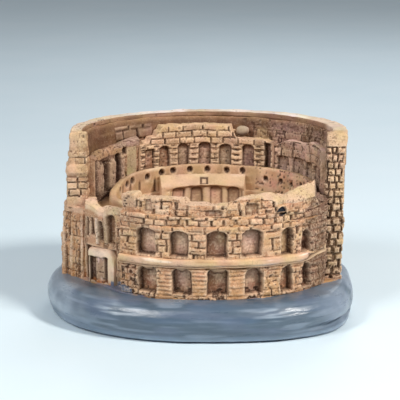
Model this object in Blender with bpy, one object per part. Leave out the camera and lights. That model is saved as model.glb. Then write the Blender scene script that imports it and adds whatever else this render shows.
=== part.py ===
"""A desk souvenir: a ruined oval amphitheatre of cast, painted resin on a glazed blue-grey plinth.

The castings are stacked and bonded on a plinth with a shallow seat. The tall outer wall is a horseshoe
that stands behind and beside the arena. Its two ends are a stepped pier (left) and a brick quoin (right).
A lower curved front with two rows of arched niches closes the oval, and the arena bowl stands inside.
Run with: blender --background --python part.py
"""

import math
from collections import namedtuple

import bmesh
import bpy
from mathutils import Vector

MM = 0.001
GAP = 0.3  # glue line between stacked castings, in mm

# ---- Driving dimensions, in mm. Building sizes are measured from the building's own centre. ----
PLINTH_HALF_WIDTH = 46.6
PLINTH_HALF_DEPTH = 38.2
PLINTH_HEIGHT = 12.0
PLINTH_ROUND = 2.1  # exponent of the plan's superellipse at the left, close to a plain oval
PLINTH_SQUARE = 2.9  # the same at the right, which is squarer
RIM_RISE = 1.4  # how much higher the plinth's rim is at the sides than at the front
SEAT_FLOOR = 10.5
PAD_THICKNESS = 0.8
PAD_INSET = 5.0
BUILDING_CENTRE = (1.2, -2.2)  # from the plinth's centre

SLAB_BOTTOM, SLAB_TOP = 10.8, 12.9
FIRST_FLOOR = 13.2
SECOND_FLOOR = 22.6
TERRACE = 32.6
ATTIC_FLOOR = 44.8
ATTIC_TOP = 54.0
OVERALL_TOP = 55.5

BAY_DEGREES = 16.2  # one arch and one pier, as an angle of the oval
ARCH_WIDTH = 5.4
NICHE_DEPTH = 1.9

Oval = namedtuple("Oval", "cx cy a b")
OUTER_FIRST = Oval(-1.6, 0, 42.2, 35.6)
OUTER_SECOND = Oval(-0.4, 0, 42.2, 34.9)
OUTER_THIRD = Oval(0.3, 0, 42.0, 34.2)
OUTER_ATTIC = Oval(1.3, 0, 41.3, 33.4)
WALL_INSIDE = Oval(0.8, 0, 36.0, 28.4)
FRONT_FACE = Oval(1.0, 0, 37.6, 29.5)
FRONT_BACK = Oval(1.0, 0, 33.4, 24.9)
CORE_REAR = Oval(0.8, 0, 35.6, 28.0)
CORE_FRONT = Oval(1.0, 0, 33.0, 24.5)
BOWL_OUTSIDE = Oval(2.4, -0.6, 31.0, 23.3)
BOWL_INSIDE = Oval(2.4, -0.6, 28.8, 21.1)
GALLERY_FACE = Oval(0.8, 0, 32.5, 24.6)
COLONNADE_FACE = Oval(0.8, 0, 33.4, 25.8)
FRONT_LEFT, FRONT_RIGHT = -131.0, -24.5  # ends of the low front's outer face, in degrees
BACK_LEFT, BACK_RIGHT = -133.0, -2.0  # ends of its inner face
FRONT_ARCHES = [-118.4 + BAY_DEGREES * i for i in range(6)]
PEG_HOLES = (22, 33, 43, 55, 71, 81, 93, 104, 115, 123, 134, 148, 154, 166)  # poked by hand, so uneven


def grown(oval, by):
    return Oval(oval.cx, oval.cy, oval.a + by, oval.b + by)


def at(oval, degrees):
    """The point of an oval at this angle: 0 is its right end, 90 the rear, 180 the left end."""
    t = math.radians(degrees)
    return Vector((oval.cx + oval.a * math.cos(t), oval.cy + oval.b * math.sin(t)))


def outward(oval, degrees):
    t = math.radians(degrees)
    return Vector((math.cos(t) / oval.a, math.sin(t) / oval.b)).normalized()


def spread(start, end, steps):
    return [start + (end - start) * i / steps for i in range(steps + 1)]


# ---- Scene, materials and objects ----


def clear_scene():
    for obj in list(bpy.data.objects):
        bpy.data.objects.remove(obj)


def make_material(name, colour, roughness):
    material = bpy.data.materials.new(name)
    material.use_nodes = True
    shader = material.node_tree.nodes["Principled BSDF"]
    shader.inputs["Base Color"].default_value = (*colour, 1.0)
    shader.inputs["Roughness"].default_value = roughness
    shader.inputs["Metallic"].default_value = 0.0
    material.diffuse_color = (*colour, 1.0)
    return material


clear_scene()
SANDSTONE = make_material("sandstone_paint", (0.62, 0.43, 0.26), 0.8)
CREAM = make_material("cream_paint", (0.74, 0.58, 0.40), 0.7)
UMBER = make_material("umber_paint", (0.33, 0.21, 0.15), 0.85)
GLAZE = make_material("blue_grey_glaze", (0.13, 0.19, 0.28), 0.25)
FELT = make_material("felt", (0.05, 0.05, 0.06), 1.0)

building = bpy.data.objects.new("amphitheatre_origin", None)
building.location = (BUILDING_CENTRE[0] * MM, BUILDING_CENTRE[1] * MM, 0)
bpy.context.scene.collection.objects.link(building)


def add_object(name, bm, material, parent=building):
    """Makes an object of a bmesh that is in mm, with its normals made consistent."""
    bmesh.ops.recalc_face_normals(bm, faces=bm.faces)
    bmesh.ops.scale(bm, vec=(MM, MM, MM), verts=bm.verts)
    mesh = bpy.data.meshes.new(name)
    bm.to_mesh(mesh)
    bm.free()
    obj = bpy.data.objects.new(name, mesh)
    obj.data.materials.append(material)
    obj.parent = parent
    bpy.context.scene.collection.objects.link(obj)
    return obj


def cut(obj, bm):
    """Cuts the closed shapes of a bmesh out of an object."""
    cutter = add_object("cutter_" + obj.name, bm, SANDSTONE)
    cutter.hide_render = True
    cutter.display_type = "WIRE"
    boolean = obj.modifiers.new("cut", "BOOLEAN")
    boolean.operation = "DIFFERENCE"
    boolean.solver = "EXACT"
    boolean.object = cutter


def loft(bm, loops):
    """Joins a stack of equal loops of (x, y, z) points with sides, and caps both ends."""
    rings = [[bm.verts.new(point) for point in loop] for loop in loops]
    for low, high in zip(rings, rings[1:]):
        for i in range(len(low)):
            j = (i + 1) % len(low)
            bm.faces.new((low[i], low[j], high[j], high[i]))
    bm.faces.new(list(reversed(rings[0])))
    bm.faces.new(rings[-1])


def lofted(name, loops, material, parent=building):
    bm = bmesh.new()
    loft(bm, loops)
    return add_object(name, bm, material, parent)


def flat_loop(points, z):
    return [(x, y, z) for x, y in points]


def oval_loop(oval, z, steps):
    return flat_loop([at(oval, 360 * i / steps) for i in range(steps)], z)


def arc_wall(name, faces, spans, bottom, tops, steps, material):
    """A wall that follows two ovals. faces and spans hold the near and the far face's oval and end angles.
    tops gives the heights of both top edges from the wall's fraction, 0 at its start and 1 at its end."""
    bm = bmesh.new()
    sections = []
    angles = [spread(*span, steps) for span in spans]
    for i in range(steps + 1):
        near, far = (at(oval, angle[i]) for oval, angle in zip(faces, angles))
        near_top, far_top = tops(i / steps)
        points = ((*near, bottom), (*near, near_top), (*far, far_top), (*far, bottom))
        sections.append([bm.verts.new(point) for point in points])
    for here, there in zip(sections, sections[1:]):
        for k in range(4):
            m = (k + 1) % 4
            bm.faces.new((here[k], here[m], there[m], there[k]))
    bm.faces.new(sections[0])
    bm.faces.new(list(reversed(sections[-1])))
    return add_object(name, bm, material)


def level(z):
    """A flat top, for arc_wall."""
    return lambda fraction: (z, z)


def stepped(stops):
    """A top of straight runs between (fraction, height) stops, for arc_wall."""

    def heights(fraction):
        z = stops[-1][1]
        for (f0, z0), (f1, z1) in zip(stops, stops[1:]):
            if fraction <= f1:
                z = z0 + (z1 - z0) * (fraction - f0) / (f1 - f0)
                break
        return z, z

    return heights


# ---- Openings ----


def arch_outline(width, bottom, top, rise, arc_steps=6):
    """An opening with a curved head, as (along, z) points. rise 0 makes it square."""
    half = width / 2
    outline = [(-half, bottom), (half, bottom)]
    if rise == 0:
        return outline + [(half, top), (-half, top)]
    for i in range(arc_steps + 1):
        t = math.pi * i / arc_steps
        outline.append((half * math.cos(t), top - rise + rise * math.sin(t)))
    return outline


def add_niche(bm, oval, degrees, outline, depth, side=1):
    """A prism that sinks depth mm into an oval's face. side is 1 for an outer face, -1 for an inner one."""
    clear = 1.2
    middle = at(oval, degrees)
    normal = outward(oval, degrees) * side
    along = Vector((-normal.y, normal.x))
    loops = []
    for reach in (clear, -depth):
        face = middle + normal * reach
        loops.append([(*(face + along * s), z) for s, z in outline])
    loft(bm, loops)


def cut_niches(obj, oval, angles, outline, depth=NICHE_DEPTH, side=1):
    bm = bmesh.new()
    for degrees in angles:
        add_niche(bm, oval, degrees, outline, depth, side)
    cut(obj, bm)


# ---- Plinth, pad and foundation ----


def rim_height(degrees):
    """The plinth's height, which is lowest in the middle of the front."""
    return PLINTH_HEIGHT + RIM_RISE * (math.cos(math.radians(degrees)) ** 2 - 0.3)


def footprint(grow=0.0):
    """The building's outline on the plinth, anticlockwise from its right end."""
    rear = grown(OUTER_FIRST, 0.6 + grow)
    front = grown(FRONT_FACE, 1.2 + grow)
    points = [at(rear, 180 * i / 24) for i in range(25)]
    points += [Vector((-44.3 - grow, -1.0)), Vector((-37.2 - grow / 2, -8.6 - grow))]
    points += [Vector((-30.9 - grow / 2, -15.4 - grow))]
    points += [at(front, angle) for angle in spread(-133.0, -27.0, 16)]
    points += [Vector((40.6 + grow, -9.0 - grow))]
    return points


def plinth_point(inset, degrees):
    """A point of the plinth's plan: an oval whose right-hand corners are squarer."""
    t = math.radians(degrees)
    exponent = 2 / (PLINTH_SQUARE if math.cos(t) > 0 else PLINTH_ROUND)
    x = math.copysign(abs(math.cos(t)) ** exponent, math.cos(t))
    y = math.copysign(abs(math.sin(t)) ** exponent, math.sin(t))
    return (PLINTH_HALF_WIDTH - inset) * x, (PLINTH_HALF_DEPTH - inset) * y


def build_plinth():
    steps = 64
    profile = ((2.4, 0.3), (0.9, 1.3), (0.25, 3.2), (0, 5.8), (0.5, 8.6), (1.5, 10.6), (3.0, 11.7), (4.8, 12.0))
    angles = [360 * i / steps for i in range(steps)]
    loops = []
    for inset, z in profile:
        share = [rim_height(angle) / PLINTH_HEIGHT if z > 1 else 1 for angle in angles]
        loops.append([(*plinth_point(inset, angle), z * k) for angle, k in zip(angles, share)])
    plinth = lofted("plinth", loops, GLAZE, None)
    bm = bmesh.new()
    high = PLINTH_HEIGHT + 5
    loft(bm, [flat_loop(footprint(0.4), SEAT_FLOOR), flat_loop(footprint(0.4), high)])
    pad = pad_oval(0.3)
    shift = Oval(-BUILDING_CENTRE[0], -BUILDING_CENTRE[1], pad.a, pad.b)
    loft(bm, [oval_loop(shift, -1, 48), oval_loop(shift, PAD_THICKNESS + GAP, 48)])
    cut(plinth, bm)
    plinth.data.shade_smooth()
    plinth.data.set_sharp_from_angle(angle=math.radians(40))


def pad_oval(grow=0.0):
    inset = PAD_INSET - grow
    return Oval(0, 0, PLINTH_HALF_WIDTH - inset, PLINTH_HALF_DEPTH - inset)


def build_felt_pad():
    pad = pad_oval()
    lofted("felt_pad", [oval_loop(pad, 0, 48), oval_loop(pad, PAD_THICKNESS, 48)], FELT, None)


def build_foundation():
    loops = [flat_loop(footprint(), SLAB_BOTTOM), flat_loop(footprint(), SLAB_TOP)]
    lofted("foundation_slab", loops, SANDSTONE)


# ---- The low curved front ----


def front_wall(name, face, back, bottom, tops, material, steps=26):
    """A piece of the low front. Its right end stops short of the quoin."""
    right = -math.degrees(math.acos((35.2 - face.cx) / face.a))
    spans = ((FRONT_LEFT, right), (BACK_LEFT, BACK_RIGHT))
    return arc_wall(name, (face, back), spans, bottom, tops, steps, material)


def build_front():
    lower = front_wall("lower_arcade", FRONT_FACE, FRONT_BACK, FIRST_FLOOR, level(20.9), SANDSTONE)
    cut_niches(lower, FRONT_FACE, FRONT_ARCHES, arch_outline(ARCH_WIDTH, 12.0, 20.2, 1.8))

    ledge = grown(FRONT_FACE, 1.0)
    front_wall("string_course", ledge, FRONT_BACK, 21.2, level(23.3), CREAM)

    upper = front_wall("upper_arcade", FRONT_FACE, FRONT_BACK, 23.6, level(33.0), SANDSTONE)
    cut_niches(upper, FRONT_FACE, FRONT_ARCHES, arch_outline(ARCH_WIDTH - 0.4, 24.6, 31.8, 1.8))

    face = grown(FRONT_FACE, -0.3)
    front_wall("brick_band", face, FRONT_BACK, 33.3, level(35.9), SANDSTONE)

    # The broken top: high at both ends, low where the arena shows through.
    skyline = [(0, 40.3), (0.05, 41.0), (0.24, 41.0), (0.28, 38.2), (0.46, 38.2), (0.52, 40.1)]
    skyline += [(0.66, 40.0), (0.72, 41.2), (0.84, 42.6), (1, 41.8)]
    face = grown(FRONT_FACE, -1.5)
    parapet = front_wall("ruined_parapet", face, FRONT_BACK, 36.2, stepped(skyline), SANDSTONE, 50)
    bm = bmesh.new()
    for degrees, width, low, high in ((-118, 3.0, 36.8, 39.9), (-87.8, 3.4, 36.6, 37.7), (-70.3, 4.2, 36.7, 39.3)):
        add_niche(bm, face, degrees, arch_outline(width, low, high, 0.6), 0.9)
    add_niche(bm, face, -54.5, arch_outline(2.6, 36.6, 39.0, 1.2), 1.6)
    cut(parapet, bm)


# ---- Core, terrace, arena ----


def build_core():
    outline = [at(CORE_REAR, 180 * i / 32) for i in range(33)]
    outline += [at(CORE_FRONT, 180 + 180 * i / 32) for i in range(33)]
    core = lofted("core_block", [flat_loop(outline, FIRST_FLOOR), flat_loop(outline, 32.3)], UMBER)
    pocket = grown(BOWL_INSIDE, -0.6)
    bm = bmesh.new()
    loft(bm, [oval_loop(pocket, 25.2, 48), oval_loop(pocket, 40, 48)])
    cut(core, bm)

    floor = grown(BOWL_INSIDE, -1.0)
    lofted("arena_floor", [oval_loop(floor, 25.5, 48), oval_loop(floor, 26.5, 48)], SANDSTONE)


def build_bowl():
    """The smooth ring round the arena, with a row of peg holes under its rim."""
    steps = 60
    bottom, top = TERRACE, 39.5
    bm = bmesh.new()
    profile = ((BOWL_OUTSIDE, bottom), (BOWL_OUTSIDE, top - 0.7), (grown(BOWL_OUTSIDE, -0.7), top))
    profile += ((grown(BOWL_INSIDE, 0.5), top), (BOWL_INSIDE, top - 0.5), (BOWL_INSIDE, bottom))
    rings = [[bm.verts.new(point) for point in oval_loop(oval, z, steps)] for oval, z in profile]
    for low, high in zip(rings, rings[1:] + rings[:1]):
        for i in range(steps):
            j = (i + 1) % steps
            bm.faces.new((low[i], low[j], high[j], high[i]))
    bowl = add_object("arena_bowl", bm, CREAM)

    holes = bmesh.new()
    radius, height = 0.85, 38.2
    outline = [(radius * math.cos(t), height + radius * math.sin(t)) for t in spread(0, math.tau, 10)[:-1]]
    for degrees in PEG_HOLES:
        add_niche(holes, BOWL_INSIDE, degrees, outline, 1.4, side=-1)
    cut(bowl, holes)
    bowl.data.shade_smooth()
    bowl.data.set_sharp_from_angle(angle=math.radians(40))


def build_arena_arcade():
    """The small lean-to at the back of the arena, with four arches under a sloping roof."""
    front = Oval(2.4, -0.6, 25.5, 15.4)
    back = Oval(2.4, -0.6, 27.4, 19.7)
    spans = ((68.0, 127.0), (69.5, 124.0))
    roof = lambda fraction: (35.3, 37.2)
    arcade = arc_wall("arena_arcade", (front, back), spans, 26.8, roof, 16, CREAM)
    bm = bmesh.new()
    for degrees in (75.0, 87.5, 100.5, 113.5):
        add_niche(bm, front, degrees, arch_outline(3.6, 27.6, 34.3, 1.4), 2.0, side=-1)
    cut(arcade, bm)


# ---- The tall horseshoe wall ----


def build_outer_wall():
    bays = [180 * (i + 0.5) / 11 for i in range(11)]
    storeys = (
        ("outer_wall_first_storey", OUTER_FIRST, FIRST_FLOOR, 22.3, arch_outline(ARCH_WIDTH, 13.8, 20.6, 2.2)),
        ("outer_wall_second_storey", OUTER_SECOND, SECOND_FLOOR, 32.3, arch_outline(ARCH_WIDTH, 23.8, 30.6, 2.2)),
        ("outer_wall_third_storey", OUTER_THIRD, TERRACE, 44.5, arch_outline(ARCH_WIDTH, 34.4, 42.4, 2.2)),
        ("outer_wall_attic", OUTER_ATTIC, ATTIC_FLOOR, ATTIC_TOP, arch_outline(2.6, 47.6, 50.6, 0)),
    )
    span = (0, 180)
    for name, face, bottom, top, outline in storeys:
        ovals = (face, WALL_INSIDE)
        storey = arc_wall(name, ovals, (span, span), bottom, level(top), 33, SANDSTONE)
        cut_niches(storey, face, bays, outline)
    ovals = (grown(OUTER_ATTIC, 0.4), grown(WALL_INSIDE, -0.3))
    arc_wall("wall_coping", ovals, (span, span), 54.3, level(OVERALL_TOP), 33, CREAM)


def build_galleries():
    """The blind arcades on the inner side of the tall wall."""
    back = CORE_REAR
    skyline = [(0, 47.6), (0.295, 48.3), (0.305, 51.9), (0.89, 51.9), (0.91, 48.7), (0.95, 48.6), (0.97, 46.9), (1, 46.7)]
    ovals = (GALLERY_FACE, back)
    span = (52.0, 129.0)
    rear = arc_wall("rear_gallery", ovals, (span, span), TERRACE, stepped(skyline), 100, SANDSTONE)
    angles = [66.8, 79.4, 91.5, 103.5, 115.5]
    cut_niches(rear, GALLERY_FACE, angles, arch_outline(3.7, 39.4, 46.0, 1.4), 1.7, side=-1)

    left_ovals = (COLONNADE_FACE, back)
    span = (131.0, 177.5)
    left = arc_wall("left_colonnade", left_ovals, (span, span), TERRACE, level(47.4), 16, UMBER)
    cut_niches(left, COLONNADE_FACE, [138.5, 147.5, 157.5, 168.5], arch_outline(2.8, 33.4, 45.2, 0), 6, side=-1)

    span = (3.0, 50.0)
    right_ovals = (grown(COLONNADE_FACE, 0.3), back)
    right = arc_wall("right_gallery", right_ovals, (span, span), TERRACE, level(48.6), 16, UMBER)
    cut_niches(right, right_ovals[0], [12.0, 23.0, 34.0, 44.0], arch_outline(3.2, 38.6, 45.0, 1.0), 1.2, side=-1)

    bm = bmesh.new()
    bmesh.ops.create_icosphere(bm, subdivisions=2, radius=1)
    bmesh.ops.scale(bm, vec=(2.1, 1.3, 1.5), verts=bm.verts)
    bmesh.ops.translate(bm, vec=(12.0, 24.9, 50.2), verts=bm.verts)
    stone = add_object("fallen_stone", bm, CREAM)
    stone.data.shade_smooth()


# ---- The two ends of the tall wall, and the left terrace ----


def build_ends():
    low = [(-43.7, -0.3), (-42.8, -2.4), (-37.2, -7.6), (-35.4, -7.8), (-35.4, -0.3)]
    high = [(-42.5, -0.3), (-42.0, -2.0), (-37.0, -5.6), (-35.4, -5.8), (-35.4, -0.3)]
    lofted("left_pier_lower", [flat_loop(low, FIRST_FLOOR), flat_loop(high, 32.4)], SANDSTONE)

    low = [(-41.6, -0.3), (-41.2, -3.4), (-35.6, -4.0), (-35.4, -0.3)]
    high = [(-40.2, -0.3), (-40.0, -1.8), (-35.4, -2.2), (-35.2, -0.3)]
    lofted("left_pier_upper", [flat_loop(low, 32.7), flat_loop(high, 54.6)], SANDSTONE)

    low = [(35.6, -0.3), (35.6, -8.6), (40.5, -7.8), (40.9, -0.3)]
    high = [(36.7, -0.3), (36.7, -3.2), (42.6, -2.8), (42.8, -0.3)]
    lofted("right_quoin", [flat_loop(low, FIRST_FLOOR), flat_loop(high, 54.6)], SANDSTONE)


def build_terrace():
    """The block between the left pier and the low front, with a porch against its face."""
    face = [Vector((-35.0, -0.3)), Vector((-35.0, -8.6)), Vector((-30.2, -13.6)), Vector((-24.8, -18.9))]
    back = [at(FRONT_BACK, angle) for angle in spread(-137.0, -179.0, 8)]
    outline = face + back
    terrace = lofted("left_terrace", [flat_loop(outline, FIRST_FLOOR), flat_loop(outline, TERRACE)], SANDSTONE)

    # Two tall slots above the porch.
    start, end = face[1], face[3]
    along = (end - start).normalized()
    normal = Vector((along.y, -along.x))
    bm = bmesh.new()
    for place in (2.6, 5.6):
        middle = start + along * place
        corners = [(s, r) for s, r in ((-0.8, 2), (0.8, 2), (0.8, -1.4), (-0.8, -1.4))]
        points = [middle + along * s + normal * r for s, r in corners]
        loft(bm, [flat_loop(points, 24.4), flat_loop(points, 30.8)])
    cut(terrace, bm)

    # The porch is a flat portal with two openings.
    length, thick = 11.4, 1.4
    foot = start + normal * 0.5
    corners = ((0, 0), (length, 0), (length, thick), (0, thick))
    plan = [foot + along * s + normal * r for s, r in corners]
    porch = lofted("side_porch", [flat_loop(plan, FIRST_FLOOR), flat_loop(plan, 23.2)], CREAM)
    bm = bmesh.new()
    for place, width in ((2.0, 2.2), (7.0, 2.8)):
        sides = ((place - width / 2, -1), (place + width / 2, -1), (place + width / 2, thick + 1), (place - width / 2, thick + 1))
        points = [foot + along * s + normal * r for s, r in sides]
        loft(bm, [flat_loop(points, FIRST_FLOOR - 1), flat_loop(points, 20.6)])
    cut(porch, bm)


build_plinth()
build_felt_pad()
build_foundation()
build_front()
build_core()
build_bowl()
build_arena_arcade()
build_outer_wall()
build_galleries()
build_ends()
build_terrace()
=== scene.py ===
"""The looks of a miniature ruined amphitheatre: hand-carved, painted resin on a glossy blue-grey plinth.

Every piece is a fine surface over its CAD solid. Heights carve bricks, niches, holes and pits into it, and
the same heights say where the dark wash and painted shade gather and where the pale dry brush and painted
highlight catch.
Lengths are in mm, in the frame's axes, until a mesh is made. Angles run round an oval: 0 is its right end,
90 the rear, 180 the left end and -90 the front.
"""
import math
from collections import namedtuple
from itertools import product

import bpy
import numpy as np
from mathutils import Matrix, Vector


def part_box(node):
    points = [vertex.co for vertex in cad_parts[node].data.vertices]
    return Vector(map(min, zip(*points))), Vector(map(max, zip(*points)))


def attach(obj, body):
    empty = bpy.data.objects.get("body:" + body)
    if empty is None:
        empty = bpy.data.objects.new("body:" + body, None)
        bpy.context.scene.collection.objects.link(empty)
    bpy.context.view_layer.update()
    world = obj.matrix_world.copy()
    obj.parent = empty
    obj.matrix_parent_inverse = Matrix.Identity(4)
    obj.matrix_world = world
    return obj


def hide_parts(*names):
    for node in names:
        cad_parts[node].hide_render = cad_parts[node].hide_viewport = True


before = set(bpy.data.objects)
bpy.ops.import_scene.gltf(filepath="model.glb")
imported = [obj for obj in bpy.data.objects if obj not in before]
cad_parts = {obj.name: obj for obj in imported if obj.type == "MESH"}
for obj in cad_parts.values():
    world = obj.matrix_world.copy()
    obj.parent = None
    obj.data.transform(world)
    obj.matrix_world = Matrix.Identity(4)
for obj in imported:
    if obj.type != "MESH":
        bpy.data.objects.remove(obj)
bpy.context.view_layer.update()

MM = 0.001
FINE = 0.2  # spacing of the surfaces' points on the most detailed faces
GRID = 0.22  # the same on other faces
COARSE = 0.4  # the same through a wall, and over a block's top
FRONT_LEFT = -131.0  # degrees, where the low front meets the terrace
FIRST_ARCH = -118.4  # degrees, the middle of its first arch
BAY = 16.2  # degrees from arch to arch
SHADES = (-0.9, -0.75, -0.4, 0.35, 0.75, 0.9)  # each arch's side with painted shade (below 0 is the left), and how dark

# Paints, as linear colours
ORANGE = (0.51, 0.250, 0.118)
BUFF = (0.56, 0.320, 0.170)
CREAM = (0.70, 0.480, 0.300)
HIGHLIGHT = (0.79, 0.575, 0.395)
BROWN = (0.31, 0.155, 0.085)
MAUVE = (0.54, 0.325, 0.215)
PURPLE = (0.30, 0.17, 0.135)
# Painted light in the middle of a niche
NICHE_PAINTED_LIGHT = (0.68, 0.455, 0.33)
# Earth brown, also used for painted shade
EARTH_AND_SHADE = (0.23, 0.105, 0.050)
INNER_TAN = (0.36, 0.205, 0.11)
# Dark wash, also used for painted shade
WASH_AND_SHADE = (0.050, 0.018, 0.008)
RUST = (0.33, 0.10, 0.03)
INNER_BROWN = (0.125, 0.054, 0.025)
# Near black for the painted shade inside the round hole
HOLE_SHADE = (0.012, 0.014, 0.022)
LAP_BLUE = (0.10, 0.15, 0.25)
SLATE = (0.069, 0.103, 0.143)
SLATE_PALE = (0.25, 0.31, 0.39)


# ---- Ovals and paths ----

Oval = namedtuple("Oval", "cx cy a b")


def box(node):
    """A node's low and high corner in mm."""
    low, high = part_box(node)
    return np.array(low) / MM, np.array(high) / MM


def grown(oval, by):
    return Oval(oval.cx, oval.cy, oval.a + by, oval.b + by)


def on_oval(oval, degrees):
    """The points of an oval at some angles."""
    t = np.radians(degrees)
    return np.stack([oval.cx + oval.a * np.cos(t), oval.cy + oval.b * np.sin(t)], -1)


def rear_oval(node):
    """The outer oval of a node that covers the whole rear, from 0 to 180 degrees."""
    low, high = box(node)
    return Oval((low[0] + high[0]) / 2, low[1], (high[0] - low[0]) / 2, high[1] - low[1])


def arc(oval, start, end):
    """A path that takes fractions from 0 to 1 to points of an oval between two angles."""
    return lambda f: on_oval(oval, start + (end - start) * f)


def polyline(*corners):
    """A path that takes fractions from 0 to 1 to points of a line with corners, by length."""
    corners = np.array(corners, float)
    lengths = np.concatenate([[0], np.cumsum(np.linalg.norm(np.diff(corners, axis=0), axis=1))])
    stops = lengths / lengths[-1]
    return lambda f: np.stack([np.interp(f, stops, corners[:, k]) for k in (0, 1)], -1)


def between(span, fraction):
    return span[0] + (span[1] - span[0]) * fraction


def outward(degrees):
    """Directions in plan, one for each angle."""
    return np.stack([np.cos(np.radians(degrees)), np.sin(np.radians(degrees))], -1)


def ruler(path):
    """A function from a path's fraction to the mm along it."""
    stops = np.linspace(0, 1, 400)
    steps = np.linalg.norm(np.diff(path(stops), axis=0), axis=1)
    lengths = np.concatenate([[0], np.cumsum(steps)])
    return lambda f: np.interp(f, stops, lengths)


def skyline(*stops):
    """Heights along a wall from (position, height) stops."""
    stops = np.array(sorted(stops), float)
    return lambda position: np.interp(position, stops[:, 0], stops[:, 1])


# ---- Noise ----


def smooth(x):
    x = np.clip(x, 0, 1)
    return x * x * (3 - 2 * x)


def rising(value, start, width):
    """From 0 at start to 1 after a width."""
    return smooth((value - start) / width)


def falling(value, end, width):
    """From 1 up to a width before the end, to 0 there."""
    return smooth((end - value) / width)


def band(value, middle, width, flat=1.4):
    """1 around a middle value and 0 further off than flat times the width."""
    return smooth(flat - np.abs(value - middle) / width)


def hashed(*keys):
    """An even random number from 0 to 1 for whole-number keys."""
    total = np.int64(0)
    for key, prime in zip(keys, (73856093, 19349663, 83492791, 49979687)):
        total = total ^ (np.asarray(key).astype(np.int64) * np.int64(prime))
    total = (total ^ (total >> np.int64(13))) * np.int64(1274126177)
    return ((total ^ (total >> np.int64(16))) & np.int64(0xFFFF)) / 65535.0


def noise(points, size, seed=0):
    """Smooth noise from -1 to 1 whose blobs are about size mm across."""
    scaled = points / size
    cell = np.floor(scaled)
    part = smooth(scaled - cell)
    cell = cell.astype(np.int64)
    total = np.zeros(len(points))
    for corner in product((0, 1), repeat=3):
        weight = np.prod(np.where(corner, part, 1 - part), axis=1)
        total += weight * hashed(cell[:, 0] + corner[0], cell[:, 1] + corner[1], cell[:, 2] + corner[2], seed)
    return total * 2 - 1


# ---- Surfaces ----


def block_lattice(na, nb, nc, closed):
    """Whole-number places (a, b, c) of a box's surface points, and its quads with their fronts outwards.
    a runs along the near face, b up it, and c through to the far one. A closed one joins its two ends."""
    across = na if closed else na + 1
    place = np.indices((across, nb + 1, nc + 1))
    on_surface = (place[1] == 0) | (place[1] == nb) | (place[2] == 0) | (place[2] == nc)
    if not closed:
        on_surface |= (place[0] == 0) | (place[0] == na)
    index = np.full(on_surface.shape, -1)
    index[on_surface] = np.arange(on_surface.sum())

    def side(grid, flip):
        if closed:
            grid = np.concatenate([grid, grid[:1]])
        corners = [grid[:-1, :-1], grid[1:, :-1], grid[1:, 1:], grid[:-1, 1:]]
        if flip:
            corners.reverse()
        return np.stack(corners, -1).reshape(-1, 4)

    quads = [side(index[:, :, 0], False), side(index[:, :, nc], True)]
    quads += [side(index[:, nb, :], False), side(index[:, 0, :], True)]
    if not closed:
        for grid, flip in ((index[0], True), (index[na], False)):
            corners = [grid[:-1, :-1], grid[:-1, 1:], grid[1:, 1:], grid[1:, :-1]]
            if flip:
                corners.reverse()
            quads.append(np.stack(corners, -1).reshape(-1, 4))
    return place[:, on_surface].astype(float), np.concatenate(quads)


def spread_normals(points, quads):
    """The direction out of the surface at each point."""
    corner = points[quads]
    face = np.cross(corner[:, 2] - corner[:, 0], corner[:, 3] - corner[:, 1])
    total = np.stack(
        [np.bincount(quads.ravel(), np.repeat(face[:, k], 4), len(points)) for k in range(3)], -1
    )
    return total / np.maximum(np.linalg.norm(total, axis=1, keepdims=True), 1e-12)


def relaxed(values, quads, rounds):
    """Values blurred over a surface."""
    count = np.bincount(quads.ravel(), minlength=len(values))
    for _ in range(rounds):
        middle = values[quads].mean(1)
        values = np.bincount(quads.ravel(), np.repeat(middle, 4), len(values)) / count
    return values


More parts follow.
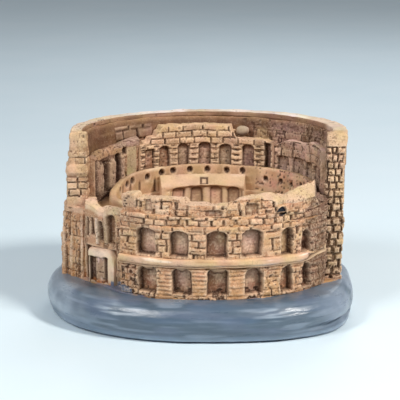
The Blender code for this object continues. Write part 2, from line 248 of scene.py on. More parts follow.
class Surface:
    """A piece in the making: its points, and for each one a height, a dark wash that also carries painted
    shade, a grit and a paint.
    near, far and top say which side a point is on. wall() adds how far through it the point is, whether it is
    on an end, its angle, and a function from an angle to the mm along."""

    def __init__(self, points, quads, along, near, far, top):
        self.points = points
        self.quads = quads
        self.along = along  # mm along the near face
        self.z = points[:, 2].copy()
        self.near, self.far, self.top = near, far, top
        self.everywhere = np.ones(len(points), bool)
        self.height = np.zeros(len(points))
        self.wash_and_shade = np.zeros(len(points))
        self.grit = np.ones(len(points))  # how strongly specks and pale paint catch
        self.paint = np.tile(np.array(ORANGE), (len(points), 1))

    def colour(self, where, paint, amount=1.0):
        """Paint over what is there. where can be a mask or a share for each point."""
        share = np.clip(np.asarray(where, float) * amount, 0, 1)[:, None]
        self.paint = self.paint * (1 - share) + np.array(paint) * share

    def add_wash_and_shade(self, amount):
        """Dark wash and painted shade, at least this much."""
        self.wash_and_shade = np.maximum(self.wash_and_shade, amount)

    def blotch(self, lift, size, seed):
        """Soft blotches from 0 to 1. They cover more with a larger lift."""
        return smooth(lift + noise(self.points, size, seed))

    def beside(self, degrees, half):
        """Where the distance along the face from an angle is under half."""
        return np.abs(self.along - self.at(degrees)) < half

    def bricks(self, where, course=2.2, length=3.6, depth=0.45, joint=(0.36, 0.26), kept=(0.85, 0.8), seed=1,
               lift=0.12, tone=0.13, start=0.0, bold=0.5):
        """Hand-cut masonry: uneven courses, with some of the joints left out. joint (half widths) and kept
        (shares) each hold a value for upright joints and one for level ones. bold is how deep the faintest
        joint is, lift how far bricks stand in or out, and tone how much their paint differs."""
        level = self.z - start + 0.28 * noise(self.points, 5.0, seed + 40)
        row = np.floor(level / course)
        rise = level - row * course
        x = self.along + 0.25 * noise(self.points, 3.0, seed + 41) + hashed(row, seed) * length

        def joint_at(column):
            return (column + 0.45 * (hashed(row, column, seed + 1) - 0.5)) * length

        column = np.floor(x / length)
        column = np.where(x < joint_at(column), column - 1, column)
        column = np.where(x >= joint_at(column + 1), column + 1, column)
        left, right = x - joint_at(column), joint_at(column + 1) - x
        nearest = np.where(left < right, column, column + 1)
        upright = np.minimum(left, right)
        flat = np.minimum(rise, course - rise)
        bed = np.where(rise < course / 2, row, row + 1)
        stretch = self.along / (length * 1.3) + hashed(bed, seed + 4) * 3
        run = np.floor(stretch)
        fade = smooth((0.5 - np.abs(stretch - run - 0.5)) / 0.10)
        width = 0.75 + 0.35 * noise(self.points, 1.1, seed + 42)
        firm = bold + (1 - bold) * hashed(row, nearest, seed + 7)
        present = hashed(row, nearest, seed + 2) < kept[0]
        cut_upright = present * smooth(1.6 - upright / (joint[0] * width)) * firm
        cut_upright *= smooth((course * 0.58 - np.abs(rise - course / 2)) / 0.3)
        faint = 0.7 * bold + (1 - 0.7 * bold) * hashed(bed, run, seed + 8)
        present = hashed(bed, run, seed + 3) < kept[1]
        cut_flat = present * smooth(1.6 - flat / (joint[1] * width)) * fade * faint
        cut = np.maximum(cut_upright, cut_flat * 0.85) * where
        pillow = smooth(np.minimum(upright, flat) / 0.6) * where
        self.height += lift * (hashed(row, column, seed + 5) - 0.5) * 2 * where + 0.14 * pillow
        self.height -= depth * cut
        inked = np.maximum(cut_upright, cut_flat * (0.35 + 0.6 * bold)) * where
        self.add_wash_and_shade(inked * (0.85 + 0.3 * noise(self.points, 0.9, seed + 9)))
        shade = hashed(row, column, seed + 6) * 2 - 1
        self.paint *= 1 + (tone * shade * where)[:, None]
        self.colour(where * rising(shade, 0.3, 0.4), CREAM, 2.6 * tone)
        self.colour(where * rising(-shade, 0.5, 0.4), EARTH_AND_SHADE, 2.0 * tone)

    def niche(self, where, centre, half, bottom, top, rise, depth, soft=0.5, inside=MAUVE, dark=0.8,
              shade=0.0, lit=1.0):
        """An opening with a curved head, sunk into a face, with wash and painted shade round its edge and a
        painted shadow under its head. shade says how dark the painted shade on the side at its end (above 0)
        or its start (below 0) is. lit says how pale the painted light on its speckled middle is."""
        x = self.along - centre + 0.2 * noise(self.points, 2.2, 71)
        z = self.z + 0.15 * noise(self.points, 1.6, 72)
        spring = top - rise
        head = (np.hypot(x / half, (z - spring) / max(rise, 0.01)) - 1) * min(half, max(rise, 0.2))
        outside = np.where(z > spring, head, np.abs(x) - half)
        outside = np.maximum(outside, bottom - z)
        within = smooth(0.5 - outside / soft) * where
        self.height = self.height * (1 - 0.75 * within) - depth * within
        self.wash_and_shade = self.wash_and_shade * (1 - within)
        self.colour(within, inside)
        side = math.copysign(1.0, shade) * x / half
        # Painted light: the middle, away from the shaded side, is paler, as much as lit says
        middle = smooth(1.1 - np.hypot((side + 0.3) / 0.8, (z - (bottom + top) / 2) / (top - bottom) * 2.2))
        self.colour(within * middle * (0.6 + 0.4 * noise(self.points, 1.1, 73)), NICHE_PAINTED_LIGHT, 0.75 * lit)
        speckle = noise(self.points, 0.45, 74)
        self.colour(within * rising(speckle, 0.15, 0.3), HIGHLIGHT, 0.2 + 0.3 * min(lit, 1.0))
        self.colour(within * rising(-speckle, 0.3, 0.3), EARTH_AND_SHADE, 0.35)
        self.grit = self.grit * (1 - 0.5 * within)
        # Wash and painted shade round the edge, a painted shadow under the head and painted shade on the jamb
        # at the shaded side
        edge = band(outside, -0.15, 0.6, 1.0) * where
        shadow = rising(z, top - 2.2, 2.2) * within
        jamb = abs(shade) * rising(side, 0.05, 0.75) * within
        self.colour(np.maximum(jamb, shadow * 0.8), EARTH_AND_SHADE, 0.85)
        self.add_wash_and_shade(dark * np.maximum(edge * 0.6, shadow * 0.55))
        self.add_wash_and_shade(dark * jamb * 0.5)

    def hole(self, where, centre, z, radius, depth):
        """A round hole full of wash and painted shade, with a slightly raised lip."""
        away = np.hypot(self.along - centre, self.z - z)
        within = smooth((radius - away) / 0.3 + 0.5) * where
        lip = band(away, radius + 0.35, 0.35, 1) * where
        self.height = self.height * (1 - within) - depth * within + 0.08 * lip
        self.add_wash_and_shade(within)

    def pits(self, where, size=0.55, share=0.3, depth=0.22, seed=5, dark=0.8):
        """Small pocks left by the modelling tool."""
        pit = rising(noise(self.points, size, seed), 0.62 - share, 0.35) * where
        self.height -= depth * pit
        self.add_wash_and_shade(dark * pit)

    def grain(self, coarse=0.24, middle=0.14, fine=0.075, seed=11):
        """The uneven surface that hand modelling leaves everywhere."""
        self.height += coarse * noise(self.points, 6.0, seed) + middle * noise(self.points, 1.9, seed + 1)
        self.height += fine * noise(self.points, 0.65, seed + 2)
        self.colour(rising(noise(self.points, 2.6, seed + 3), 0.1, 0.6), BUFF, 0.3)

    def streaks(self, where, paint, amount, stretch=(9.0, 9.0, 0.9), seed=21, threshold=0.1):
        """Brush strokes of another paint, long in the directions with a large stretch."""
        strokes = noise(self.points / np.array(stretch), 1.0, seed)
        self.colour(where * rising(strokes, threshold, 0.5), paint, amount)

    def made(self, node, slot, material, pale=HIGHLIGHT, brush=0.55, soften=1):
        """Moves the points, mixes the paints and hands over the finished object. Dark wash gathers in the
        narrow hollows and earth brown in the broad ones as painted shade. Pale paint catches what stands out,
        as dry brush on fine ridges and as painted highlight on broad bulges, as much as brush says."""
        name = "painted_" + node
        normals = spread_normals(self.points, self.quads)
        moved = self.points + normals * self.height[:, None]
        near_height = relaxed(self.height, self.quads, 3)
        hollow = near_height - self.height
        basin = relaxed(near_height, self.quads, 12) - near_height
        patch = 0.5 + 0.5 * noise(self.points, 2.4, 31)
        if material is not ENAMEL:
            self.paint *= 1 + np.outer(noise(self.points, 3.2, 33), (-0.04, 0.02, -0.14))
        # Painted shade: earth brown in the broad hollows. Painted highlight: pale paint on the broad bulges.
        self.colour(smooth(basin / 0.30) * self.grit, EARTH_AND_SHADE, 0.55 * brush)
        self.colour(smooth(-basin / 0.25) * patch * self.grit, pale, 0.7 * brush)
        self.colour(smooth(-hollow / 0.10) * (0.4 + 0.6 * patch) * self.grit, pale, brush)
        wash_and_shade = np.clip(self.wash_and_shade + smooth(hollow / 0.30) * 0.5, 0, 1)
        self.colour(wash_and_shade, WASH_AND_SHADE, 0.93)
        self.paint *= (1 + 0.10 * noise(self.points, 3.5, 32))[:, None]
        mesh = bpy.data.meshes.new(name)
        mesh.vertices.add(len(moved))
        mesh.vertices.foreach_set("co", (moved * MM).astype(np.float32).ravel())
        mesh.loops.add(self.quads.size)
        mesh.loops.foreach_set("vertex_index", self.quads.ravel().astype(np.int32))
        mesh.polygons.add(len(self.quads))
        mesh.polygons.foreach_set("loop_start", np.arange(0, self.quads.size, 4, dtype=np.int32))
        mesh.update(calc_edges=True)
        mesh.shade_smooth()
        colours = mesh.color_attributes.new("paint", "FLOAT_COLOR", "POINT")
        rgba = np.concatenate([np.clip(self.paint, 0.002, 1), np.ones((len(moved), 1))], 1)
        colours.data.foreach_set("color", rgba.astype(np.float32).ravel())
        grit = mesh.attributes.new("grit", "FLOAT", "POINT")
        grit.data.foreach_set("value", self.grit.astype(np.float32))
        mesh.materials.append(material)
        piece = bpy.data.objects.new(name, mesh)
        bpy.context.scene.collection.objects.link(piece)
        if soften:
            modifier = piece.modifiers.new("soften", "SMOOTH")
            modifier.factor = 0.5
            modifier.iterations = soften
        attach(piece, "root")
        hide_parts(node)
        return piece


def per(value, *places):
    """A number, or what a function makes of the places, for every point."""
    return value(*places) if callable(value) else np.full(len(places[0]), float(value))


def wall(near, far, bottom, top, span=(0, 1), grid=GRID, thick_grid=COARSE, closed=False, radius=0.6):
    """A wall between two paths. bottom and top are heights, or functions of the fractions along and through
    it. span holds the angles at the near path's two ends, if it has them. radius rounds the top's edges."""
    measure = ruler(near)
    middle = np.array([0.5])
    rise = float(per(top, middle, middle)[0] - per(bottom, middle, middle)[0])
    depth = float(np.linalg.norm(near(middle) - far(middle)))
    na, nb = max(8, round(float(measure(1)) / grid)), max(6, round(rise / grid))
    nc = max(4, round(depth / thick_grid))
    (a, b, c), quads = block_lattice(na, nb, nc, closed)
    a, b, c = a / na, b / nb, c / nc
    low, high = per(bottom, a, c), per(top, a, c)
    at_near, at_far, at_top = c == 0, c == 1, b == 1
    tall = high - low
    inward = np.where(at_near | at_far, edge_round((1 - b) * tall, radius), 0.0) / depth
    through = np.where(at_near, inward, np.where(at_far, 1 - inward, c))
    drop = np.where(at_top, edge_round(np.minimum(c, 1 - c) * depth, radius), 0.0)
    front, back = near(a), far(a)
    plan = front + (back - front) * through[:, None]
    points = np.column_stack([plan, low + tall * b - drop])
    surface = Surface(points, quads, measure(a), at_near, at_far, at_top & ~at_near & ~at_far)
    surface.through = through
    surface.ends = ((a == 0) | (a == 1)) & ~at_near & ~at_far
    surface.angle = between(span, a)
    surface.at = lambda degrees: float(measure((degrees - span[0]) / (span[1] - span[0])))
    return surface


def edge_round(distance, radius):
    """How far the rounding of an edge pulls in a point at this distance from it."""
    angle = math.pi / 4 * (1 - np.clip(distance / radius, 0, 1))
    return radius * (1 - np.cos(angle))


def disc(rings, side_rows):
    """A solid from closed loops of points: out from the bottom's middle, up, and in to the top's middle.
    side_rows holds the first and last loop of its side."""
    count, steps = rings.shape[:2]
    points = np.concatenate([rings.reshape(-1, 3), rings[:1].mean(1), rings[-1:].mean(1)])
    ring = np.arange(count * steps).reshape(count, steps)
    following = np.roll(ring, -1, axis=1)
    quads = [np.stack([ring[:-1], following[:-1], following[1:], ring[1:]], -1).reshape(-1, 4)]
    for row, pole, flip in ((0, count * steps, True), (count - 1, count * steps + 1, False)):
        loop = ring[row]
        fan = np.stack([loop[0::2], loop[1::2], np.roll(loop[0::2], -1), np.full(steps // 2, pole)], -1)
        quads.append(fan[:, ::-1] if flip else fan)
    row_of = np.concatenate([np.repeat(np.arange(count), steps), [0, count - 1]])
    middle_row = rings[side_rows[0]]
    around = np.linalg.norm(np.roll(middle_row, -1, axis=0)[:, :2] - middle_row[:, :2], axis=1)
    along = np.concatenate([[0], np.cumsum(around)[:-1]])
    along = np.concatenate([np.tile(along, count), [0, 0]])
    side = (row_of >= side_rows[0]) & (row_of <= side_rows[1])
    return Surface(points, np.concatenate(quads), along, side, row_of < side_rows[0], row_of > side_rows[1])


def level_loop(loop, share, z, centre=None):
    """A loop of points at a height, drawn in to a share of its size."""
    centre = loop.mean(0) if centre is None else centre
    return np.column_stack([centre + (loop - centre) * share, np.full(len(loop), z)])


def column(low_corners, high_corners, bottom, top, grid=FINE, radius=0.9):
    """An upright block on a convex outline, given anticlockwise, that changes to another one at its top."""
    low_path, high_path = (polyline(*corners, corners[0]) for corners in (low_corners, high_corners))
    steps = 2 * round(float(ruler(low_path)(1)) / grid / 2)
    fractions = np.arange(steps) / steps
    low_loop, high_loop = low_path(fractions), high_path(fractions)
    tall = top - bottom
    up = max(6, round(tall / grid))
    reach = float(np.linalg.norm(high_loop - high_loop.mean(0), axis=1).max())
    cap = max(4, round(reach / COARSE))
    rings = [level_loop(low_loop, share, bottom) for share in (0.3, 0.65)]
    for k in range(up + 1):
        pull = edge_round((1 - k / up) * tall, radius) / reach
        loop = low_loop + (high_loop - low_loop) * k / up
        rings.append(level_loop(loop, 1 - pull, bottom + tall * k / up))
    rings[-1][:, 2] -= edge_round(0.0, radius)
    for k in range(1, cap):
        rings.append(level_loop(high_loop, 1 - k / cap, top - edge_round(reach * k / cap, radius)))
    return disc(np.array(rings), (2, 2 + up))


# ---- Materials: the paint comes from the points, and fine specks, brush marks and bumps from nodes ----


class Nodes:
    """Short names for building a node tree."""

    def __init__(self, name):
        self.material = bpy.data.materials.new(name)
        self.material.use_nodes = True
        self.tree = self.material.node_tree
        self.shader = self.tree.nodes["Principled BSDF"]

    def link(self, source, target):
        self.tree.links.new(source, target)

    def add(self, kind, **settings):
        node = self.tree.nodes.new("ShaderNode" + kind)
        for key, value in settings.items():
            setattr(node, key, value)
        return node

    def place(self, stretch=(1, 1, 1)):
        mapping = self.add("Mapping")
        mapping.inputs["Scale"].default_value = stretch
        self.link(self.add("TexCoord").outputs["Object"], mapping.inputs["Vector"])
        return mapping.outputs["Vector"]

    def noise(self, size_mm, detail=3.0, roughness=0.6, stretch=(1, 1, 1)):
        node = self.add("TexNoise")
        node.inputs["Scale"].default_value = 1 / (size_mm * MM)
        node.inputs["Detail"].default_value = detail
        node.inputs["Roughness"].default_value = roughness
        self.link(self.place(stretch), node.inputs["Vector"])
        return node.outputs["Fac"]

    def ramp(self, value, low, high, start=0.0, end=1.0):
        node = self.add("MapRange")
        for key, number in zip(("From Min", "From Max", "To Min", "To Max"), (low, high, start, end)):
            node.inputs[key].default_value = number
        self.link(value, node.inputs["Value"])
        return node.outputs["Result"]

    def mix(self, amount, first, second, blend="MIX"):
        node = self.add("Mix", data_type="RGBA", blend_type=blend)
        for value, key in ((amount, "Factor"), (first, "A"), (second, "B")):
            socket = node.inputs[key]
            if isinstance(value, bpy.types.NodeSocket):
                self.link(value, socket)
            elif isinstance(value, tuple):
                socket.default_value = (*value, 1.0)
            else:
                socket.default_value = value
        return node.outputs["Result"]

    def times(self, first, second):
        node = self.add("Math", operation="MULTIPLY")
        self.link(first, node.inputs[0])
        self.link(second, node.inputs[1])
        return node.outputs["Value"]

    def bump(self, value, distance_mm, strength=1.0, below=None):
        node = self.add("Bump")
        node.inputs["Strength"].default_value = strength
        node.inputs["Distance"].default_value = distance_mm * MM
        self.link(value, node.inputs["Height"])
        if below is not None:
            self.link(below, node.inputs["Normal"])
        return node.outputs["Normal"]


def painted_stone(name, specks=0.65, flecks=0.45, roughness=0.78, rough_bump=0.12):
    """Matte acrylic over cast resin: the point paint with umber specks and pale flecks."""
    n = Nodes(name)
    paint = n.add("Attribute", attribute_name="paint").outputs["Color"]
    cloudy = n.ramp(n.noise(2.6, 4), 0.3, 0.7, 0.90, 1.10)
    colour = n.mix(1.0, paint, cloudy, "MULTIPLY")
    grit = n.add("Attribute", attribute_name="grit").outputs["Fac"]
    dots = n.ramp(n.noise(0.50, 2, 0.5), 0.54, 0.66)
    patches = n.ramp(n.noise(3.5, 2), 0.40, 0.60, 0.1 * specks, specks)
    colour = n.mix(n.times(n.times(dots, patches), grit), colour, (0.16, 0.068, 0.032))
    bright = n.ramp(n.noise(0.42, 2, 0.5), 0.55, 0.68, 0.0, flecks)
    colour = n.mix(n.times(bright, grit), colour, (0.76, 0.56, 0.385))
    n.link(colour, n.shader.inputs["Base Color"])
    uneven = n.ramp(n.noise(1.2, 3), 0.3, 0.7, roughness - 0.08, roughness + 0.10)
    n.link(uneven, n.shader.inputs["Roughness"])
    n.shader.inputs["Specular IOR Level"].default_value = 0.35
    coarse = n.bump(n.noise(0.9, 4, 0.65), rough_bump * 1.6, 0.8)
    n.link(n.bump(n.noise(0.28, 2), rough_bump, 0.7, coarse), n.shader.inputs["Normal"])
    return n.material


def brushed_enamel(name):
    """Thick glossy blue-grey paint whose brush marks run round the plinth."""
    n = Nodes(name)
    paint = n.add("Attribute", attribute_name="paint").outputs["Color"]
    brush = n.noise(1.1, 4, 0.6, (0.12, 0.12, 1.0))
    colour = n.mix(n.ramp(brush, 0.5, 0.78, 0.0, 0.30), paint, SLATE_PALE)
    colour = n.mix(n.ramp(n.noise(6.0, 3), 0.35, 0.7, 0.0, 0.35), colour, (0.075, 0.118, 0.170))
    n.link(colour, n.shader.inputs["Base Color"])
    n.link(n.ramp(brush, 0.3, 0.7, 0.24, 0.48), n.shader.inputs["Roughness"])
    n.shader.inputs["Coat Weight"].default_value = 0.6
    n.shader.inputs["Coat Roughness"].default_value = 0.27
    broad = n.bump(n.noise(2.4, 3, 0.55, (0.35, 0.35, 1.0)), 0.30, 0.7)
    normal = n.bump(n.noise(0.5, 3, 0.6, (0.2, 0.2, 1.0)), 0.07, 0.8, broad)
    n.link(normal, n.shader.inputs["Normal"])
    n.link(normal, n.shader.inputs["Coat Normal"])
    return n.material


def wool_felt(name):
    """Dark felt with fibres both ways."""
    n = Nodes(name)
    fibres = n.noise(0.35, 5, 0.75, (1, 0.25, 1))
    crossing = n.noise(0.35, 5, 0.75, (0.25, 1, 1))
    both = n.mix(0.5, fibres, crossing)
    n.link(n.mix(both, (0.012, 0.012, 0.016), (0.075, 0.075, 0.085)), n.shader.inputs["Base Color"])
    n.shader.inputs["Roughness"].default_value = 0.97
    n.shader.inputs["Sheen Weight"].default_value = 0.4
    n.link(n.bump(both, 0.15, 1.0), n.shader.inputs["Normal"])
    return n.material


STONE = painted_stone("painted_stone")
ROUGH = painted_stone("rough_stone", specks=0.95, flecks=0.6, rough_bump=0.17)
SMOOTH = painted_stone("smooth_stone", specks=0.25, flecks=0.16, roughness=0.66, rough_bump=0.06)
ENAMEL = brushed_enamel("brushed_enamel")
FELT = wool_felt("wool_felt")


# ---- The ovals of the building, from the frame ----

START_Y = box("outer_wall_first_storey")[0][1]  # the tall wall's two ends stand on this line
core_low, core_high = box("core_block")
core_middle, core_half = (core_low + core_high) / 2, (core_high - core_low) / 2
CORE = Oval(core_middle[0], START_Y, core_half[0], core_high[1] - START_Y)
WALL_INSIDE = grown(CORE, 0.4)
front_low = box("lower_arcade")[0]
FRONT_X = CORE.cx + 0.2
FRONT_A = (front_low[0] - FRONT_X) / math.cos(math.radians(FRONT_LEFT))
FRONT_FACE = Oval(FRONT_X, START_Y, FRONT_A, START_Y - front_low[1])
FRONT_BACK = Oval(FRONT_X, START_Y, CORE.a - 2.2, START_Y - core_low[1] + 0.4)
FRONT_REAR = arc(FRONT_BACK, FRONT_LEFT - 3.5, -1.0)  # the hidden rear side of the low front
bowl_low, bowl_high = box("arena_bowl")
BOWL = Oval(*((bowl_low + bowl_high) / 2)[:2], *((bowl_high - bowl_low) / 2)[:2])
GALLERY_FACE = Oval(CORE.cx, START_Y, CORE.a - 3.1, CORE.b - 3.4)
QUOIN_X = box("right_quoin")[0][0]
GLUE = 0.3  # the frame's gap between stacked pieces, which the paint bridges
GROUND = box("foundation_slab")[0][2] + 0.5  # the foot of the building, just over the plinth's rim


def levels(node):
    """The heights of a node's bottom, reaching down over the glue line, and top."""
    low, high = box(node)
    return low[2] - GLUE, high[2]


# ---- The low front ----


def front_span(face):
    """The angles of a front face, from the terrace on the left into the quoin on the right."""
    return FRONT_LEFT - 1.5, -math.degrees(math.acos((QUOIN_X + 0.4 - face.cx) / face.a))


def front_wall(node, face, bottom=None):
    """A piece of the low front, as high as its node or from a lower bottom."""
    span = front_span(face)
    low, top = levels(node)
    return wall(arc(face, *span), FRONT_REAR, low if bottom is None else bottom, top, span=span, grid=FINE)


def darken_ends(surface, first=-45.0, last=-36.0):
    """Brown paint, painted shade and rubble where the low front meets the quoin, growing from a first to a
    last angle.
    """
    near_quoin = rising(surface.angle, first, last - first) * (surface.near | surface.ends)
    surface.wash_and_shade *= 1 - 0.5 * near_quoin
    surface.colour(near_quoin, (0.20, 0.095, 0.055), 0.85)
    surface.pits(near_quoin, 1.2, 0.45, 0.45, seed=46, dark=0.55)
    surface.add_wash_and_shade(0.45 * near_quoin * surface.blotch(0.9, 1.6, 45))


def blue_lap(surface, where):
    """Plinth paint that laps up over the foot of the building."""
    edge = GROUND + 2.7 + 0.8 * noise(surface.points, 2.5, 17)
    lapped = falling(surface.z, edge, 0.6) * where
    surface.wash_and_shade *= 1 - lapped
    surface.colour(lapped, LAP_BLUE, 0.92)


def lower_arcade():
    """Six deep niches between brick piers. The ones at the right are smaller and in the rubble."""
    s = front_wall("lower_arcade", FRONT_FACE, GROUND)
    bottom, top = levels("lower_arcade")
    s.colour(s.everywhere, BUFF, 0.35)
    s.grain(0.34, 0.22, 0.10)
    calm = s.near & (noise(s.points, 9.0, 3) > -0.15) & (s.angle < -62)
    busy = s.near & ~calm
    s.bricks(busy, 1.95, 3.3, 0.38, (0.24, 0.20), (0.65, 0.75), seed=3, bold=0.45, lift=0.2)
    s.bricks(calm, 1.15, 6.0, 0.12, (0.2, 0.24), (0.0, 0.8), seed=4, lift=0.04, tone=0.05)
    s.pits(busy, 0.6, 0.30, 0.2, seed=8)
    left_pier = s.near & (s.angle < -123)
    s.pits(left_pier, 0.7, 0.55, 0.35, seed=9, dark=0.95)
    s.colour(left_pier, RUST, 0.35)
    arches = (  # offset from the even spacing in degrees, half width, head over the top, and how pale its painted light is
        (0.4, 2.85, 0.1, 1.25), (0.4, 2.8, 0.0, 1.35), (0.0, 3.0, 0.2, 1.0),
        (0.2, 2.5, -0.5, 1.0), (0.7, 2.0, -1.0, 0.8), (-3.0, 1.6, -1.3, 0.5),
    )
    for k, (offset, half, head, lit) in enumerate(arches):
        centre = s.at(FIRST_ARCH + BAY * k + offset)
        sill = bottom + (0.2 if k < 4 else -0.3)
        s.niche(s.near, centre, half, sill, top + head, 2.2, 2.4, soft=0.34,
                inside=MAUVE if k % 2 else BROWN, shade=SHADES[k], lit=lit)
        opening = s.near & (np.abs(s.along - centre) < half)
        foot = s.near & (np.abs(s.along - centre) < half - 0.3) & (s.z < bottom + 1.6)
        reddish = opening * falling(s.z, bottom + 5.2, 3.0)
        s.colour(reddish * s.blotch(0.6, 0.9, 32 + k), (0.25, 0.085, 0.045), 0.55)
        s.pits(foot, 0.7, 0.7, 0.2, seed=12 + k, dark=1.0)
        s.pits(opening, 0.55, 0.22, 0.12, seed=20 + k, dark=0.4)
    s.streaks(s.near & (s.z < bottom + 1.4), ORANGE, 0.6, seed=31)
    s.colour(s.near * falling(s.z, bottom + 0.5, 0.8), (0.50, 0.25, 0.11), 0.6)
    darken_ends(s)
    blue_lap(s, s.near & (s.angle < -126.5))
    return s.made("lower_arcade", "sandstone", STONE)


def string_course():
    """A pale ledge that waves a little and fades into the rubble at the right."""
    face = grown(FRONT_FACE, 1.0)
    bottom, top = levels("string_course")
    rise = skyline(
        (-133, 0.0), (-100, 0.25), (-83, 0.35), (-72, 0.15), (-58, -0.1), (-46, -0.4), (-40, -0.15),
        (-33, 0.25),
    )
    span = front_span(face)

    def lifted(height):
        return lambda a, _: height + rise(between(span, a))

    s = wall(arc(face, *span), FRONT_REAR, lifted(bottom), lifted(top + 0.1), span=span, grid=FINE,
             radius=0.9)
    level = (s.z - rise(s.angle) - bottom) / (top - bottom)
    s.colour(s.everywhere, CREAM, 0.75)
    s.grain(0.16, 0.10, 0.03, seed=51)
    s.height -= 0.7 * falling(level, 0.45, 0.45) * s.near
    # Painted shade along the bottom of the ledge
    s.wash_and_shade += 0.45 * falling(level, 0.28, 0.28) * s.near
    s.streaks(s.near, ORANGE, 0.55, (8, 8, 0.8), seed=52)
    s.streaks(s.near, (0.92, 0.78, 0.60), 0.6, (5, 5, 0.6), seed=53, threshold=0.15)
    s.streaks(s.near, EARTH_AND_SHADE, 0.45, (6, 6, 0.5), seed=56, threshold=0.35)
    fading = rising(s.angle, -43, 6) * (s.near | s.top)
    s.height -= 1.1 * fading
    s.colour(fading * s.blotch(0.6, 1.4, 54), EARTH_AND_SHADE, 0.6)
    s.pits(fading, 0.8, 0.5, 0.25, seed=55, dark=0.7)
    return s.made("string_course", "cream", SMOOTH, brush=0.4, soften=2)


def upper_arcade():
    """The niches over them, which are shallower at the head and have a strip of bricks above."""
    bottom, top = levels("upper_arcade")
    s = front_wall("upper_arcade", FRONT_FACE, bottom - 0.6)
    s.colour(s.everywhere, BUFF, 0.35)
    s.grain(0.34, 0.22, 0.10, seed=61)
    s.colour(s.everywhere, (0.53, 0.285, 0.140), 0.5)
    low_part = s.near & (s.z < top - 1.3)
    s.bricks(low_part, 1.9, 3.1, 0.5, (0.42, 0.30), (0.6, 0.65), seed=7, start=bottom, tone=0.14,
             lift=0.2, bold=0.55)
    s.bricks(s.near & ~low_part, 2.2, 3.2, 0.42, (0.38, 0.18), (0.7, 0.35), seed=6, start=top - 1.3,
             lift=0.25)
    s.pits(s.near & (s.z < bottom + 4), 0.5, 0.30, 0.16, seed=63, dark=0.7)
    s.pits(s.near & (s.angle > -48), 0.7, 0.5, 0.25, seed=64, dark=0.8)
    arches = (
        (-0.3, 2.8, -1.0, 1.4, MAUVE), (-0.9, 2.6, -1.3, 1.5, MAUVE), (-0.4, 2.9, -1.2, 0.8, BROWN),
        (-0.7, 2.9, -1.1, 1.2, MAUVE), (0.7, 1.9, -1.6, 0.6, INNER_TAN), (-3.3, 1.6, -3.3, 0.3, INNER_TAN),
    )
    for k, (offset, half, head, lit, inside) in enumerate(arches):
        centre = s.at(FIRST_ARCH + BAY * k + offset)
        sill = bottom + (0.9 if k < 4 else 0.1)
        s.niche(s.near, centre, half, sill, top + head, 1.5, 2.4, soft=0.36, inside=inside, dark=0.85,
                shade=SHADES[k], lit=lit)
        opening = s.near & (np.abs(s.along - centre) < half) & (s.z < top + head)
        s.pits(opening, 0.6, 0.16, 0.12, seed=65 + k, dark=0.3)
    darken_ends(s)
    return s.made("upper_arcade", "sandstone", STONE)


def round_hole(surface):
    """The black round hole at the parapet's foot, part of it in each of two pieces, painted near black inside
    as painted shade. On the band's top it reaches in under the parapet."""
    centre, z, radius = surface.at(-55.6), levels("brick_band")[1] + 0.5, 1.4
    surface.hole(surface.near, centre, z, radius, 0.6)
    under = surface.top & (surface.through < 0.62) & (surface.z < z)
    under &= np.abs(surface.along - centre) < radius - 0.1
    surface.height -= 0.5 * under
    # Painted shade: the hole's inside is painted near black
    inside = under | (surface.near & (np.hypot(surface.along - centre, surface.z - z) < radius))
    surface.wash_and_shade[inside] = 0.0
    surface.grit[inside] = 0.0
    surface.colour(inside, HOLE_SHADE)


def brick_band():
    """Small bricks, with a pale strip along the top at the right and a part of the round hole."""
    s = front_wall("brick_band", grown(FRONT_FACE, -0.25))
    bottom, top = levels("brick_band")
    s.colour(s.everywhere, BUFF, 0.4)
    s.grain(0.34, 0.24, 0.10, seed=71)
    s.bricks(s.near, 1.75, 3.5, 0.5, (0.52, 0.22), (0.9, 0.5), seed=15, start=bottom + 0.3, tone=0.16,
             lift=0.3, bold=0.6)
    s.pits(s.near & (s.angle > -50), 0.7, 0.5, 0.22, seed=72)
    s.pits(s.near, 0.5, 0.15, 0.12, seed=73, dark=0.5)
    s.colour(s.top, BUFF)
    flush = (s.top | (s.near & (s.z > top - 0.7))) & (s.angle > -62)
    s.colour(flush, (0.57, 0.38, 0.24), 0.85)
    s.grit[flush] = 0.2
    s.add_wash_and_shade(0.55 * s.top * s.blotch(0.6, 1.8, 74))
    darken_ends(s)
    round_hole(s)
    return s.made("brick_band", "sandstone", STONE)


